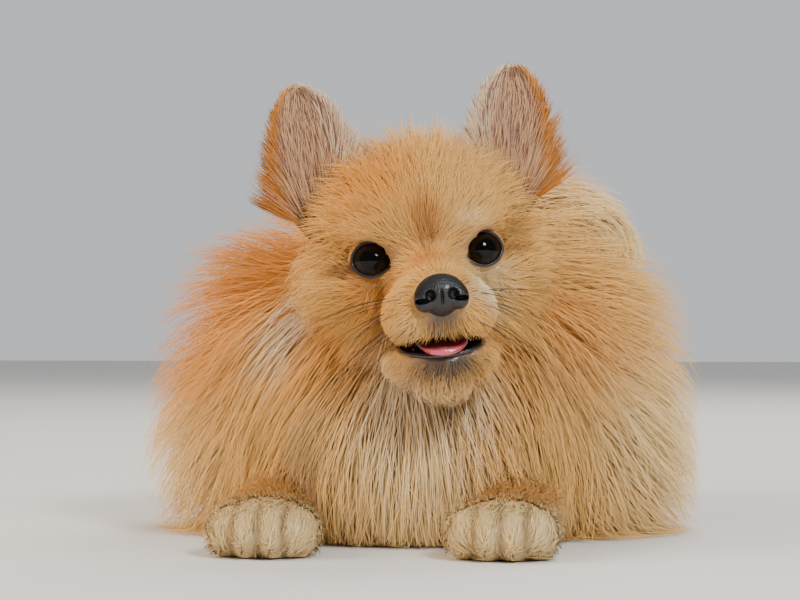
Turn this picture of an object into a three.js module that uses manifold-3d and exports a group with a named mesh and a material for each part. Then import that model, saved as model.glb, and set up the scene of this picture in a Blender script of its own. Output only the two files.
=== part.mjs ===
// A young pomeranian, life size, lying on its brisket with its head up and its
// forelegs stretched forward. Millimetres, +Z up. The dog faces -Y, its left
// side is +X, and the origin is on the floor under the brisket.

import * as THREE from 'three';
import { mergeVertices } from 'three/addons/utils/BufferGeometryUtils.js';
import Module from 'manifold-3d';

const wasm = await Module();
wasm.setup();

// Joints between sub-parts
const GAP = 0.3;
const FLOOR_DEPTH = 80;
const FLOOR_HALF = 400;

// Place of the head: the point between the eyes, then its turn and tilt
const FACE_POINT = new THREE.Vector3(12.7, -103.2, 106.3);
const HEAD_TURN = THREE.MathUtils.degToRad(11);
const HEAD_TILT = THREE.MathUtils.degToRad(-5.8);

// Head sizes, in the head's own frame: x to the dog's left, y back, z up
const EYE = { x: 19.2, y: 8, z: 0, radius: 8.8, lid: 1.5, wide: 6.7, high: 6.0, splay: 0.22 };
const NOSE = { y: -36, z: -14.8, wide: 8.9, deep: 6.2, high: 7.6 };
const MOUTH = { y: -22, z: -31.3, wide: 15.5, deep: 26, high: 4.6 };
const TONGUE = { wide: 9, front: -31, back: 0, z: -35.6, thick: 2.2, curl: 4.6 };
const EAR = { x: 35, y: 27, z: 22, tipX: 40, tipY: 24, tipZ: 67, wide: 15.5, cup: 9, thick: 3.2 };

// Paw sizes
const PAW = { x: 42, y: -126, wide: 17, long: 17, high: 11, toeWide: 5.8, toeLong: 9.5, toeHigh: 8.6 };

// Locks: rings from root to tip, then the sizes of those on each part of the coat
const DARTS = 6000;
const LOCK_RINGS = [
  { wide: 0.85, thick: 1 },
  { wide: 1, thick: 1 },
  { wide: 0.72, thick: 0.7 },
];
const RUFF_LOCK = { length: 54, width: 20, thick: 3.6, sink: 5, stray: 0.5, spacing: 20.5, reach: 0.92 };
const BACK_LOCK = { length: 42, width: 19, thick: 3.2, sink: 5, stray: 0.4, spacing: 24, reach: 0.8 };
const PLUME_LOCK = { length: 42, width: 15, thick: 3, sink: 4, stray: 0.6, spacing: 20, reach: 0.82 };
const THIGH_LOCK = { length: 32, width: 18, thick: 3, sink: 4, stray: 0.5, spacing: 24, reach: 0.8 };
const CROWN_LOCK = { length: 24, width: 12, thick: 2.2, sink: 3, stray: 0.5, spacing: 14, reach: 0.85 };

// Softness of the joins between flesh forms
const HEAD_BLEND = 3;
const BODY_BLEND = 7;
const PAW_BLEND = 1.6;

// A flesh form is an egg or a tapered limb, with the depth of coat that it grows
const egg = (x, y, z, rx, ry, rz, coat) => ({ centre: [x, y, z], radii: [rx, ry, rz], coat });
const limb = (from, fromRadius, to, toRadius, coat) => ({ from, fromRadius, to, toRadius, coat });
const pair = (make) => [make(1), make(-1)];

const HEAD_FORMS = [
  egg(0, 25, 9, 31, 31, 27, 15),
  egg(0, 10, 12, 22, 17, 16, 6),
  ...pair((s) => egg(s * 15, 5, 10, 9, 7, 6, 3)),
  ...pair((s) => egg(s * 24, 17, -10, 12, 14, 12, 18)),
  ...pair((s) => egg(s * 17, 22, -24, 11, 15, 11, 14)),
  limb([0, 2, -9], 11, [0, -27, -14], 8.5, 10),
  ...pair((s) => egg(s * 8.6, -21, -21, 10, 14.5, 9.6, 10)),
];
const JAW_FORMS = [
  limb([0, 10, -38], 9, [0, -20, -38.5], 6, 4),
  ...pair((s) => egg(s * 10, -8, -37, 9, 17, 6.5, 2.4)),
  egg(0, -19, -42, 8, 8, 6, 5),
];
const NECK_FORMS = [
  limb([6, -24, 86], 26, [0, 0, 66], 38, 48),
  limb([10, -70, 60], 12, [0, -45, 52], 22, 24),
  egg(0, -22, 48, 41, 46, 47, 42),
  ...pair((s) => egg(s * 40, -12, 40, 20, 30, 34, 45)),
];
const TORSO_FORMS = [
  egg(0, 30, 50, 42, 70, 50, 28),
  egg(0, 90, 48, 36, 48, 42, 26),
  egg(0, 112, 48, 36, 30, 42, 26),
];
const forelegForms = (s) => [
  limb([s * 50, -5, 22], 16, [s * 56, -40, 16], 13, 5),
  limb([s * 55, -30, 15], 13, [s * PAW.x, -112, 11], 10.5, 4),
  egg(s * PAW.x, PAW.y, 9.5, PAW.wide, PAW.long, PAW.high, 1),
  ...[-13.2, -4.8, 4.8, 13.2].map((x) => {
    const outer = Math.abs(x) > 10;
    return egg(s * PAW.x + x, outer ? -133 : -139, 8.2, PAW.toeWide, PAW.toeLong, PAW.toeHigh, 0.8);
  }),
];
const hindlegForms = (s) => [
  egg(s * 44, 85, 38, 22, 38, 36, 17),
  limb([s * 57, 105, 14], 13, [s * 60, 60, 12], 11, 8),
  egg(s * 60, 42, 8.5, 14, 17, 9.5, 2),
];
const TAIL_PATH = [[0, 118, 82], [2, 138, 100], [12, 132, 120], [32, 92, 124], [50, 56, 119], [62, 34, 112]];
const TAIL_FORMS = TAIL_PATH.slice(1).map((to, i) => limb(TAIL_PATH[i], 9 - 0.8 * i, to, 8.2 - 0.8 * i, 12 + 3 * i));

// Coat on the trunk thins towards the collar of long hair that covers its front
const TRUNK_FULL = 45;
const TRUNK_BARE = -35;
const TRUNK_LEAST = 0.12;
const trunkCoat = (x, y) => Math.max(TRUNK_LEAST, THREE.MathUtils.smoothstep(y, TRUNK_BARE, TRUNK_FULL));
const evenCoat = () => 1;

// Coat on the head is short on the face and full on the crown and cheeks
const FACE_BARE = -4;
const FACE_FULL = 32;
const FACE_LEAST = 0.12;
const faceCoat = (x, y) => Math.max(FACE_LEAST, THREE.MathUtils.smoothstep(y, FACE_BARE, FACE_FULL));

// Signed distance to one egg or limb
function formDistance(form, x, y, z) {
  if (form.radii) {
    const [rx, ry, rz] = form.radii;
    const px = (x - form.centre[0]) / rx;
    const py = (y - form.centre[1]) / ry;
    const pz = (z - form.centre[2]) / rz;
    const near = Math.hypot(px, py, pz);
    const slope = Math.hypot(px / rx, py / ry, pz / rz);
    return slope < 1e-9 ? -Math.min(rx, ry, rz) : (near * (near - 1)) / slope;
  }
  const axis = form.to.map((value, i) => value - form.from[i]);
  const rel = [x - form.from[0], y - form.from[1], z - form.from[2]];
  const length = axis[0] ** 2 + axis[1] ** 2 + axis[2] ** 2;
  const share = THREE.MathUtils.clamp((rel[0] * axis[0] + rel[1] * axis[1] + rel[2] * axis[2]) / length, 0, 1);
  const radius = form.fromRadius + share * (form.toRadius - form.fromRadius);
  return Math.hypot(rel[0] - share * axis[0], rel[1] - share * axis[1], rel[2] - share * axis[2]) - radius;
}

// Smooth union of forms: how far a point lies outside a share of the coat's depth
function coatField(forms, blend, thinning = evenCoat) {
  return (x, y, z, share = 1) => {
    const distances = forms.map((form) => formDistance(form, x, y, z));
    const least = Math.min(...distances);
    const weights = distances.map((distance) => Math.exp((least - distance) / blend));
    const total = weights.reduce((sum, weight) => sum + weight, 0);
    const coat = weights.reduce((sum, weight, i) => sum + weight * forms[i].coat, 0) / total;
    return least - blend * Math.log(total) - coat * share * thinning(x, y, z);
  };
}

// Core of a coat: a share of its depth, which may differ from place to place
const coreField = (field, shareAt) => (x, y, z) => field(x, y, z, shareAt(x, y, z));

// Outward direction of a field at a point
function outwardAt(field, point, share) {
  const h = 0.5;
  const { x, y, z } = point;
  return new THREE.Vector3(
    field(x + h, y, z, share) - field(x - h, y, z, share),
    field(x, y + h, z, share) - field(x, y - h, z, share),
    field(x, y, z + h, share) - field(x, y, z - h, share),
  ).divideScalar(2 * h);
}

// Moves a point onto the surface of a share of the coat
function settle(field, point, share) {
  for (let i = 0; i < 4; i += 1) {
    const outward = outwardAt(field, point, share);
    const miss = field(point.x, point.y, point.z, share);
    point.addScaledVector(outward, -miss / Math.max(outward.lengthSq(), 0.2));
  }
}

// Distance along a ray, from outside in, to a field's surface grown by a little
function reachAlong(field, origin, direction, grow, reach) {
  const step = 3;
  const value = (t) => field(
    origin.x + t * direction.x,
    origin.y + t * direction.y,
    origin.z + t * direction.z,
  ) - grow;
  let outside = reach;
  while (outside > step && value(outside - step) > 0) outside -= step;
  let inside = Math.max(0, outside - step);
  for (let i = 0; i < 24; i += 1) {
    const middle = (inside + outside) / 2;
    if (value(middle) > 0) outside = middle;
    else inside = middle;
  }
  return Math.max(outside, 0.5);
}

// Closed mesh round a centre, with more of its faces towards one side
function blobGeometry(field, { centre, detail, grow = 0, reach = 140, lean = [0, 0, 0] }) {
  const geometry = new THREE.IcosahedronGeometry(1, detail);
  geometry.deleteAttribute('normal');
  geometry.deleteAttribute('uv');
  const merged = mergeVertices(geometry, 1e-5);
  const origin = new THREE.Vector3(...centre);
  const bias = new THREE.Vector3(...lean);
  const position = merged.attributes.position;
  const direction = new THREE.Vector3();
  for (let i = 0; i < position.count; i += 1) {
    direction.fromBufferAttribute(position, i).add(bias).normalize();
    const t = reachAlong(field, origin, direction, grow, reach);
    position.setXYZ(i, origin.x + t * direction.x, origin.y + t * direction.y, origin.z + t * direction.z);
  }
  return merged;
}

// Closed mesh round a path, its ends rounded off by fans of rays
function sleeveGeometry(field, path, { stations, sides, capRings, grow = 0, reach = 60 }) {
  const curve = new THREE.CatmullRomCurve3(path.map((point) => new THREE.Vector3(...point)));
  const frames = curve.computeFrenetFrames(stations - 1);
  const rings = [];
  const addRing = (station, lift) => rings.push({ station, lift });
  for (let i = capRings; i > 0; i -= 1) addRing(0, (-i / (capRings + 1)) * (Math.PI / 2));
  for (let i = 0; i < stations; i += 1) addRing(i, 0);
  for (let i = 1; i <= capRings; i += 1) addRing(stations - 1, (i / (capRings + 1)) * (Math.PI / 2));
  const cast = (station, angle, lift) => {
    const origin = curve.getPointAt(station / (stations - 1));
    const direction = new THREE.Vector3()
      .addScaledVector(frames.normals[station], Math.cos(angle) * Math.cos(lift))
      .addScaledVector(frames.binormals[station], Math.sin(angle) * Math.cos(lift))
      .addScaledVector(frames.tangents[station], Math.sin(lift));
    return origin.addScaledVector(direction, reachAlong(field, origin, direction, grow, reach));
  };
  const points = [cast(0, 0, -Math.PI / 2)];
  for (const ring of rings) {
    for (let side = 0; side < sides; side += 1) {
      points.push(cast(ring.station, (side / sides) * 2 * Math.PI, ring.lift));
    }
  }
  points.push(cast(stations - 1, 0, Math.PI / 2));
  const faces = [];
  const at = (ring, side) => 1 + ring * sides + (side % sides);
  for (let side = 0; side < sides; side += 1) {
    faces.push([0, at(0, side + 1), at(0, side)]);
    for (let ring = 0; ring + 1 < rings.length; ring += 1) {
      faces.push([at(ring, side), at(ring, side + 1), at(ring + 1, side + 1)]);
      faces.push([at(ring, side), at(ring + 1, side + 1), at(ring + 1, side)]);
    }
    faces.push([points.length - 1, at(rings.length - 1, side), at(rings.length - 1, side + 1)]);
  }
  return closedGeometry(points, faces);
}

// Indexed geometry from points and triangles, turned so that its faces point out
function closedGeometry(points, faces) {
  const volume = faces.reduce((sum, [a, b, c]) => sum + points[a].dot(points[b].clone().cross(points[c])), 0);
  const index = faces.flatMap(([a, b, c]) => (volume > 0 ? [a, b, c] : [a, c, b]));
  const geometry = new THREE.BufferGeometry();
  geometry.setAttribute('position', new THREE.Float32BufferAttribute(points.flatMap((p) => [p.x, p.y, p.z]), 3));
  geometry.setIndex(index);
  return geometry;
}

// Closed leaf: a grid of points in front and one behind, joined round the edge
function leafGeometry(rows, columns, pointAt) {
  const points = [];
  for (const face of [-1, 1]) {
    for (let row = 0; row <= rows; row += 1) {
      for (let column = 0; column <= columns; column += 1) {
        points.push(pointAt((2 * column) / columns - 1, row / rows, face));
      }
    }
  }
  const layer = (rows + 1) * (columns + 1);
  const at = (row, column, back) => back * layer + row * (columns + 1) + column;
  const faces = [];
  const quad = (a, b, c, d) => faces.push([a, b, c], [a, c, d]);
  for (let row = 0; row < rows; row += 1) {
    for (let column = 0; column < columns; column += 1) {
      quad(at(row, column, 0), at(row, column + 1, 0), at(row + 1, column + 1, 0), at(row + 1, column, 0));
      faces.push([at(row, column, 1), at(row + 1, column + 1, 1), at(row, column + 1, 1)]);
      faces.push([at(row, column, 1), at(row + 1, column, 1), at(row + 1, column + 1, 1)]);
    }
    quad(at(row, 0, 0), at(row + 1, 0, 0), at(row + 1, 0, 1), at(row, 0, 1));
    quad(at(row + 1, columns, 0), at(row, columns, 0), at(row, columns, 1), at(row + 1, columns, 1));
  }
  for (let column = 0; column < columns; column += 1) {
    quad(at(0, column + 1, 0), at(0, column, 0), at(0, column, 1), at(0, column + 1, 1));
    quad(at(rows, column, 0), at(rows, column + 1, 0), at(rows, column + 1, 1), at(rows, column, 1));
  }
  return closedGeometry(points, faces);
}

// Repeatable random numbers from 0 to 1
function seeded(seed) {
  let state = seed;
  return () => {
    state = (state + 0x6d2b79f5) | 0;
    let mixed = Math.imul(state ^ (state >>> 15), 1 | state);
    mixed = (mixed + Math.imul(mixed ^ (mixed >>> 7), 61 | mixed)) ^ mixed;
    return ((mixed ^ (mixed >>> 14)) >>> 0) / 4294967296;
  };
}

// Root points spread evenly over a closed mesh, where the coat may grow
function scatterRoots(geometry, spacing, allowed, random) {
  const position = geometry.attributes.position;
  const corners = [];
  const areas = [];
  let total = 0;
  for (let i = 0; i < geometry.index.count; i += 3) {
    const triangle = [0, 1, 2].map((k) => new THREE.Vector3().fromBufferAttribute(position, geometry.index.getX(i + k)));
    corners.push(triangle);
    total += new THREE.Triangle(...triangle).getArea();
    areas.push(total);
  }
  const roots = [];
  for (let dart = 0; dart < DARTS; dart += 1) {
    const pick = random() * total;
    const [a, b, c] = corners[areas.findIndex((sum) => sum >= pick)];
    const u = Math.sqrt(random());
    const v = random();
    const root = new THREE.Vector3()
      .addScaledVector(a, 1 - u)
      .addScaledVector(b, u * (1 - v))
      .addScaledVector(c, u * v);
    if (allowed(root) && roots.every((other) => other.distanceTo(root) > spacing)) roots.push(root);
  }
  return roots;
}

// One flat tapered lock, from its sunk root along the lie to its tip
function lockGeometry(field, coreShare, root, lieAt, style, random) {
  const length = style.length * (0.85 + 0.3 * random());
  const width = style.width * (0.85 + 0.3 * random());
  const stray = (random() - 0.5) * style.stray;
  const reach = style.reach + 0.09 * random();
  const point = root.clone();
  const spine = [];
  for (let ring = 0; ring <= LOCK_RINGS.length; ring += 1) {
    const along = ring / LOCK_RINGS.length;
    const share = coreShare + (reach - coreShare) * Math.pow(along, 0.85);
    settle(field, point, share);
    const outward = outwardAt(field, point, share).normalize();
    spine.push({ point: point.clone(), outward });
    const lie = lieAt(point);
    lie.addScaledVector(outward, -lie.dot(outward)).normalize().applyAxisAngle(outward, stray);
    point.addScaledVector(lie, length / LOCK_RINGS.length);
  }
  spine[0].point.addScaledVector(spine[0].outward, -style.sink);
  const points = [];
  LOCK_RINGS.forEach(({ wide, thick }, ring) => {
    const { point: middle, outward } = spine[ring];
    const along = spine[ring + 1].point.clone().sub(spine[Math.max(ring - 1, 0)].point);
    const across = along.cross(outward).normalize().multiplyScalar((width * wide) / 2);
    const up = outward.clone().multiplyScalar((style.thick * thick) / 2);
    points.push(middle.clone().add(across), middle.clone().add(up));
    points.push(middle.clone().sub(across), middle.clone().sub(up));
  });
  points.push(spine[LOCK_RINGS.length].point);
  const faces = [[0, 2, 1], [0, 3, 2]];
  for (let side = 0; side < 4; side += 1) {
    const next = (side + 1) % 4;
    for (let ring = 0; ring + 1 < LOCK_RINGS.length; ring += 1) {
      const low = 4 * ring;
      faces.push([low + side, low + next, low + 4 + next], [low + side, low + 4 + next, low + 4 + side]);
    }
    const last = 4 * (LOCK_RINGS.length - 1);
    faces.push([last + side, last + next, points.length - 1]);
  }
  return closedGeometry(points, faces);
}

// Core with its locks fused on
function coated({ field, coreShareAt, shape, allowed, lieAt, style, seed }) {
  const random = seeded(seed);
  const core = blobGeometry(coreField(field, coreShareAt), shape);
  const roots = scatterRoots(core, style.spacing, allowed, random);
  return roots.reduce((whole, root) => {
    const share = coreShareAt(root.x, root.y, root.z);
    return whole.add(solidOf(lockGeometry(field, share, root, lieAt, style, random)));
  }, solidOf(core));
}

// Scaled and placed sphere
function eggGeometry(x, y, z, rx, ry, rz, across = 14, down = 9) {
  const geometry = new THREE.SphereGeometry(1, across, down);
  geometry.scale(rx, ry, rz);
  geometry.translate(x, y, z);
  return geometry;
}

// Solid for joins and cuts
function solidOf(geometry) {
  const bare = new THREE.BufferGeometry();
  bare.setAttribute('position', geometry.attributes.position.clone());
  if (geometry.index) bare.setIndex(geometry.index);
  const merged = mergeVertices(bare, 1e-4);
  const mesh = new wasm.Mesh({
    numProp: 3,
    vertProperties: new Float32Array(merged.attributes.position.array),
    triVerts: new Uint32Array(merged.index.array),
  });
  return new wasm.Manifold(mesh);
}

// Largest closed surface of a solid: scraps and sealed hollows are left out
function largestBody(solid) {
  const { vertProperties, triVerts } = solid.getMesh();
  const owner = Array.from({ length: vertProperties.length / 3 }, (_, i) => i);
  const find = (i) => {
    let top = i;
    while (owner[top] !== top) top = owner[top];
    owner[i] = top;
    return top;
  };
  for (let i = 0; i < triVerts.length; i += 3) {
    owner[find(triVerts[i + 1])] = find(triVerts[i]);
    owner[find(triVerts[i + 2])] = find(triVerts[i]);
  }
  const corner = (i) => new THREE.Vector3().fromArray(vertProperties, 3 * triVerts[i]);
  const volumes = new Map();
  for (let i = 0; i < triVerts.length; i += 3) {
    const surface = find(triVerts[i]);
    const part = corner(i).dot(corner(i + 1).cross(corner(i + 2)));
    volumes.set(surface, (volumes.get(surface) ?? 0) + part);
  }
  const [largest] = [...volumes.entries()].sort((a, b) => b[1] - a[1])[0];
  const kept = [];
  for (let i = 0; i < triVerts.length; i += 3) {
    if (find(triVerts[i]) === largest) kept.push(triVerts[i], triVerts[i + 1], triVerts[i + 2]);
  }
  const order = new Map();
  const position = [];
  const index = kept.map((vertex) => {
    if (!order.has(vertex)) {
      order.set(vertex, order.size);
      position.push(...vertProperties.slice(3 * vertex, 3 * vertex + 3));
    }
    return order.get(vertex);
  });
  const geometry = new THREE.BufferGeometry();
  geometry.setAttribute('position', new THREE.Float32BufferAttribute(position, 3));
  geometry.setIndex(index);
  return geometry;
}

const cutAway = (solid, ...others) => others.reduce((rest, other) => rest.subtract(other), solid);

// Space above the floor
const floorBlock = new THREE.BoxGeometry(2 * FLOOR_HALF, 2 * FLOOR_HALF, FLOOR_DEPTH);
floorBlock.translate(0, 0, -FLOOR_DEPTH / 2);
const floorSolid = solidOf(floorBlock);

// Head frame in the part's frame
const headGroup = new THREE.Group();
headGroup.position.copy(FACE_POINT);
headGroup.rotation.set(0, HEAD_TILT, HEAD_TURN, 'ZXY');
headGroup.updateMatrix();
const inPartFrame = (geometry) => geometry.clone().applyMatrix4(headGroup.matrix);

// Eyes: a ball behind lids that leave an almond opening
const eyeAxis = (s) => new THREE.Vector3(s * EYE.splay, -1, 0.04).normalize();
const eyeGeometry = (s, grow = 0) => {
  const radius = EYE.radius + grow;
  return eggGeometry(s * EYE.x, EYE.y, EYE.z, radius, radius, radius);
};
const lidGeometry = (s) => {
  const radius = EYE.radius + GAP + EYE.lid;
  return eggGeometry(s * EYE.x, EYE.y, EYE.z, radius, radius, radius);
};
function eyeOpening(s) {
  const geometry = new THREE.CylinderGeometry(1.15, 0.75, 16, 14, 1);
  geometry.translate(0, 8, 0);
  geometry.scale(EYE.wide, 1, EYE.high);
  const turn = new THREE.Quaternion().setFromUnitVectors(new THREE.Vector3(0, 1, 0), eyeAxis(s));
  geometry.applyQuaternion(turn);
  geometry.translate(s * EYE.x, EYE.y, EYE.z);
  return geometry;
}

// Ears: a cupped leaf, rounded at its tip, sunk into the head at its base
function earGeometry(s, grow = 0) {
  return leafGeometry(6, 6, (u, v, face) => {
    const along = v * (1 + grow / 40);
    const width = (EAR.wide + grow) * Math.pow(1 - 0.985 * v ** 3.4, 0.55);
    const cup = EAR.cup * (1 - 0.55 * v) * (1 - u * u);
    const thick = (EAR.thick * (1 - 0.45 * v) * (1 - 0.35 * u * u)) / 2 + grow;
    const x = EAR.x + along * (EAR.tipX - EAR.x) + width * u;
    const y = EAR.y + along * (EAR.tipY - EAR.y) + cup + face * thick + 4 * u * (1 - v);
    const z = EAR.z + along * (EAR.tipZ - EAR.z) - 5 * u * v * (1 - v) - grow * (1 - v);
    return new THREE.Vector3(s * x, y, z);
  });
}

// Nose leather with comma nostrils and a groove down its middle
function noseSolid(grow = 0) {
  const body = eggGeometry(0, NOSE.y, NOSE.z, NOSE.wide + grow, NOSE.deep + grow, NOSE.high + grow);
  const position = body.attributes.position;
  for (let i = 0; i < position.count; i += 1) {
    const drop = Math.max(0, (NOSE.z - position.getZ(i)) / NOSE.high);
    position.setX(i, position.getX(i) * (1 - 0.3 * drop));
    position.setY(i, position.getY(i) + 2.2 * drop);
  }
  if (grow > 0) return solidOf(body);
  const nostrils = pair((s) => [
    eggGeometry(s * 4.1, NOSE.y - 6, NOSE.z + 0.4, 1.7, 3.6, 2.1, 8, 6),
    eggGeometry(s * 6.9, NOSE.y - 4.4, NOSE.z - 1.7, 2.8, 3.4, 0.9, 8, 6),
  ]).flat();
  const groove = eggGeometry(0, NOSE.y - 6.4, NOSE.z - 4, 0.5, 1.8, 5, 6, 6);
  return cutAway(solidOf(body), ...[...nostrils, groove].map(solidOf));
}

// Tongue: a blunt strip with its sides curled up, lying on the lower jaw
function tongueGeometry(grow = 0) {
  return leafGeometry(6, 6, (u, v, face) => {
    const y = TONGUE.back + grow + v * (TONGUE.front - TONGUE.back - 2 * grow);
    const width = (TONGUE.wide + grow) * Math.pow(1 - 0.97 * v ** 5, 0.5);
    const thick = TONGUE.thick / 2 + grow;
    const z = TONGUE.z + TONGUE.curl * u * u * (0.4 + 0.6 * v) - 0.9 * v * v + face * thick;
    return new THREE.Vector3(width * u, y, z);
  });
}

// Solid spaces of the head and its parts, in the head's own frame
const headField = coatField(HEAD_FORMS, HEAD_BLEND, faceCoat);
const jawField = coatField(JAW_FORMS, HEAD_BLEND);
const headShape = { centre: [0, 12, -4], detail: 7, reach: 80, lean: [0, -0.55, -0.1] };
const jawShape = { centre: [0, -6, -39], detail: 2, reach: 50, lean: [0, -0.2, 0] };
// Core of the head's coat is full where it meets the neck and half depth on the crown and cheeks
const headCore = (x, y) => 1 - 0.5 * THREE.MathUtils.smoothstep(y, 2, 14) * THREE.MathUtils.smoothstep(-y, -38, -28);
const clearOfEars = (p) => Math.hypot(Math.abs(p.x) - EAR.x, p.y - EAR.y) > EAR.wide * 0.8 || p.z < EAR.z - 12;
const jawGeometry = blobGeometry(jawField, jawShape);
const grownHead = inPartFrame(blobGeometry(headField, { ...headShape, grow: GAP }));
const grownJaw = blobGeometry(jawField, { ...jawShape, grow: GAP });
const mouthSpace = solidOf(eggGeometry(0, MOUTH.y, MOUTH.z, MOUTH.wide, MOUTH.deep, MOUTH.high, 14, 6));

const headCoat = coated({
  field: headField,
  coreShareAt: headCore,
  shape: headShape,
  allowed: (p) => p.y > 8 && p.y < 30 && (p.z > 22 || Math.abs(p.x) > 32) && p.z > -32 && clearOfEars(p),
  lieAt: (p) => new THREE.Vector3(0.9 * p.x, 18 + 0.5 * p.y, p.z > 10 ? 0.35 * p.z : -14),
  style: CROWN_LOCK,
  seed: 11,
});
const headSolid = cutAway(
  pair((s) => solidOf(lidGeometry(s))).reduce((whole, lid) => whole.add(lid), headCoat),
  ...pair((s) => solidOf(eyeGeometry(s, GAP))),
  ...pair((s) => solidOf(eyeOpening(s))),
  ...pair((s) => solidOf(earGeometry(s, GAP))),
  noseSolid(GAP),
  solidOf(grownJaw),
  mouthSpace,
  solidOf(tongueGeometry(GAP)),
);
const jawSolid = cutAway(solidOf(jawGeometry), mouthSpace, solidOf(tongueGeometry(GAP)));

// Solid spaces of the trunk and limbs
const trunkField = coatField(TORSO_FORMS, BODY_BLEND, trunkCoat);
const neckField = coatField(NECK_FORMS, BODY_BLEND);
const tailField = coatField(TAIL_FORMS, BODY_BLEND);
const trunkShape = { centre: [0, 52, 50], detail: 5 };
const neckShape = { centre: [0, -20, 60], detail: 5 };
const tailShape = { centre: [20, 104, 116], detail: 3 };
const hindShape = { detail: 3 };
const foreShape = { stations: 6, sides: 16, capRings: 3, reach: 40 };
const forelegPath = (s) => [
  [s * 51, 2, 22], [s * 56, -35, 16], [s * 49, -80, 13], [s * PAW.x, -112, 10.5], [s * PAW.x, -130, 9.5],
];

const forelegGeometry = (s, grow = 0) =>
  sleeveGeometry(coatField(forelegForms(s), PAW_BLEND), forelegPath(s), { ...foreShape, grow });
const hindCentre = (s) => [s * 50, 80, 30];
const hindlegGeometry = (s, grow = 0) =>
  blobGeometry(coatField(hindlegForms(s), BODY_BLEND), { ...hindShape, centre: hindCentre(s), grow });

const grownTrunk = solidOf(blobGeometry(trunkField, { ...trunkShape, grow: GAP }));
const grownTail = solidOf(blobGeometry(tailField, { ...tailShape, grow: GAP }));
const hindFields = pair((s) => coatField(hindlegForms(s), BODY_BLEND));
const grownLimbs = [
  ...pair((s) => solidOf(forelegGeometry(s, GAP))),
  ...pair((s) => solidOf(hindlegGeometry(s, GAP))),
];

// Cores reach under half the coat's depth, but all of it where a neighbour meets them
const HALF_COAT = 0.45;
const TAIL_ROOT = new THREE.Vector3(0, 122, 86);
const TAIL_ROOT_REACH = 34;
const trunkCore = (x, y, z) => {
  const away = new THREE.Vector3(x, y, z).distanceTo(TAIL_ROOT) / TAIL_ROOT_REACH;
  return 1 - (1 - HALF_COAT) * THREE.MathUtils.smoothstep(away, 0.7, 1.2);
};
const thighCore = (x) => 1 - (1 - HALF_COAT) * THREE.MathUtils.smoothstep(Math.abs(x), 46, 60);
const halfCore = () => HALF_COAT;

// Lie of the coat: out from the face and down on the ruff, back and down behind it
const LIE_LEVEL = 60;
const ruffLie = (p) => {
  const front = THREE.MathUtils.smoothstep(-p.y, 20, 75);
  const side = THREE.MathUtils.clamp(p.x / 45, -1, 1);
  const top = THREE.MathUtils.smoothstep(p.z, 95, 140);
  return new THREE.Vector3(side * (0.75 - 0.35 * front), 0.75 * (1 - front) + 0.5 * top, -0.55 - 0.45 * front + 0.5 * top);
};
const backLie = (p) => new THREE.Vector3(p.x / 130, 0.9, p.z > LIE_LEVEL ? -0.15 : -0.5);
const thighLie = (p) => new THREE.Vector3(p.x / 300, 0.5, -0.8);
const plumeLie = (p) => new THREE.Vector3(0.55 + (p.x - 30) / 90, -0.45, -0.55 + (p.z - 110) / 60);

const clearOf = (p, ...fields) => fields.every((field) => field(p.x, p.y, p.z) > 2);
const partHeadField = (() => {
  const inverse = headGroup.matrix.clone().invert();
  return (x, y, z) => {
    const local = new THREE.Vector3(x, y, z).applyMatrix4(inverse);
    return headField(local.x, local.y, local.z);
  };
})();

const ruffCoat = coated({
  field: neckField,
  coreShareAt: halfCore,
  shape: neckShape,
  allowed: (p) => p.z > 12 && clearOf(p, partHeadField, trunkField),
  lieAt: ruffLie,
  style: RUFF_LOCK,
  seed: 8,
});
const backCoat = coated({
  field: trunkField,
  coreShareAt: trunkCore,
  shape: trunkShape,
  allowed: (p) => p.z > 14 && p.y > 22 && p.distanceTo(TAIL_ROOT) > 26 && clearOf(p, ...hindFields),
  lieAt: backLie,
  style: BACK_LOCK,
  seed: 5,
});
const plumeCoat = coated({
  field: tailField,
  coreShareAt: halfCore,
  shape: tailShape,
  allowed: (p) => p.z > 100 && clearOf(p, trunkField),
  lieAt: plumeLie,
  style: PLUME_LOCK,
  seed: 7,
});
const thighCoats = pair((s) => coated({
  field: hindFields[s > 0 ? 0 : 1],
  coreShareAt: thighCore,
  shape: { ...hindShape, centre: hindCentre(s) },
  allowed: (p) => p.z > 22 && p.y > 66 && s * p.x > 52,
  lieAt: thighLie,
  style: THIGH_LOCK,
  seed: 13,
}));

const trunkSpace = solidOf(blobGeometry(trunkField, trunkShape));
const tailSpace = solidOf(blobGeometry(tailField, tailShape));
const torsoSolid = cutAway(backCoat.intersect(trunkSpace), floorSolid, ...grownLimbs);
const tailSolid = cutAway(plumeCoat.intersect(tailSpace), grownTrunk);
const neckSolid = cutAway(
  ruffCoat,
  floorSolid,
  grownTrunk,
  grownTail,
  ...grownLimbs,
  solidOf(grownHead),
  solidOf(inPartFrame(grownJaw)),
  ...pair((s) => solidOf(inPartFrame(earGeometry(s, 2 * GAP)))),
);

// Finishes
const finish = (color, roughness) => new THREE.MeshStandardMaterial({ color, roughness, metalness: 0 });
const orangeCoat = finish(0xc98a4b, 0.85);
const creamCoat = finish(0xd8c3a0, 0.88);
const earCoat = finish(0xb9753f, 0.85);
const noseLeather = finish(0x2b2a2c, 0.4);
const eyeGlass = finish(0x120b08, 0.08);
const tongueFlesh = finish(0xb2606a, 0.45);

// Whole dog
const dog = new THREE.Group();
dog.name = 'pomeranian';
function addNode(parent, name, geometry, material) {
  const clean = geometry.clone();
  for (const attribute of ['normal', 'uv']) {
    if (clean.attributes[attribute]) clean.deleteAttribute(attribute);
  }
  const merged = mergeVertices(clean, 1e-4);
  merged.computeVertexNormals();
  const mesh = new THREE.Mesh(merged, material);
  mesh.name = name;
  parent.add(mesh);
}

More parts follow.
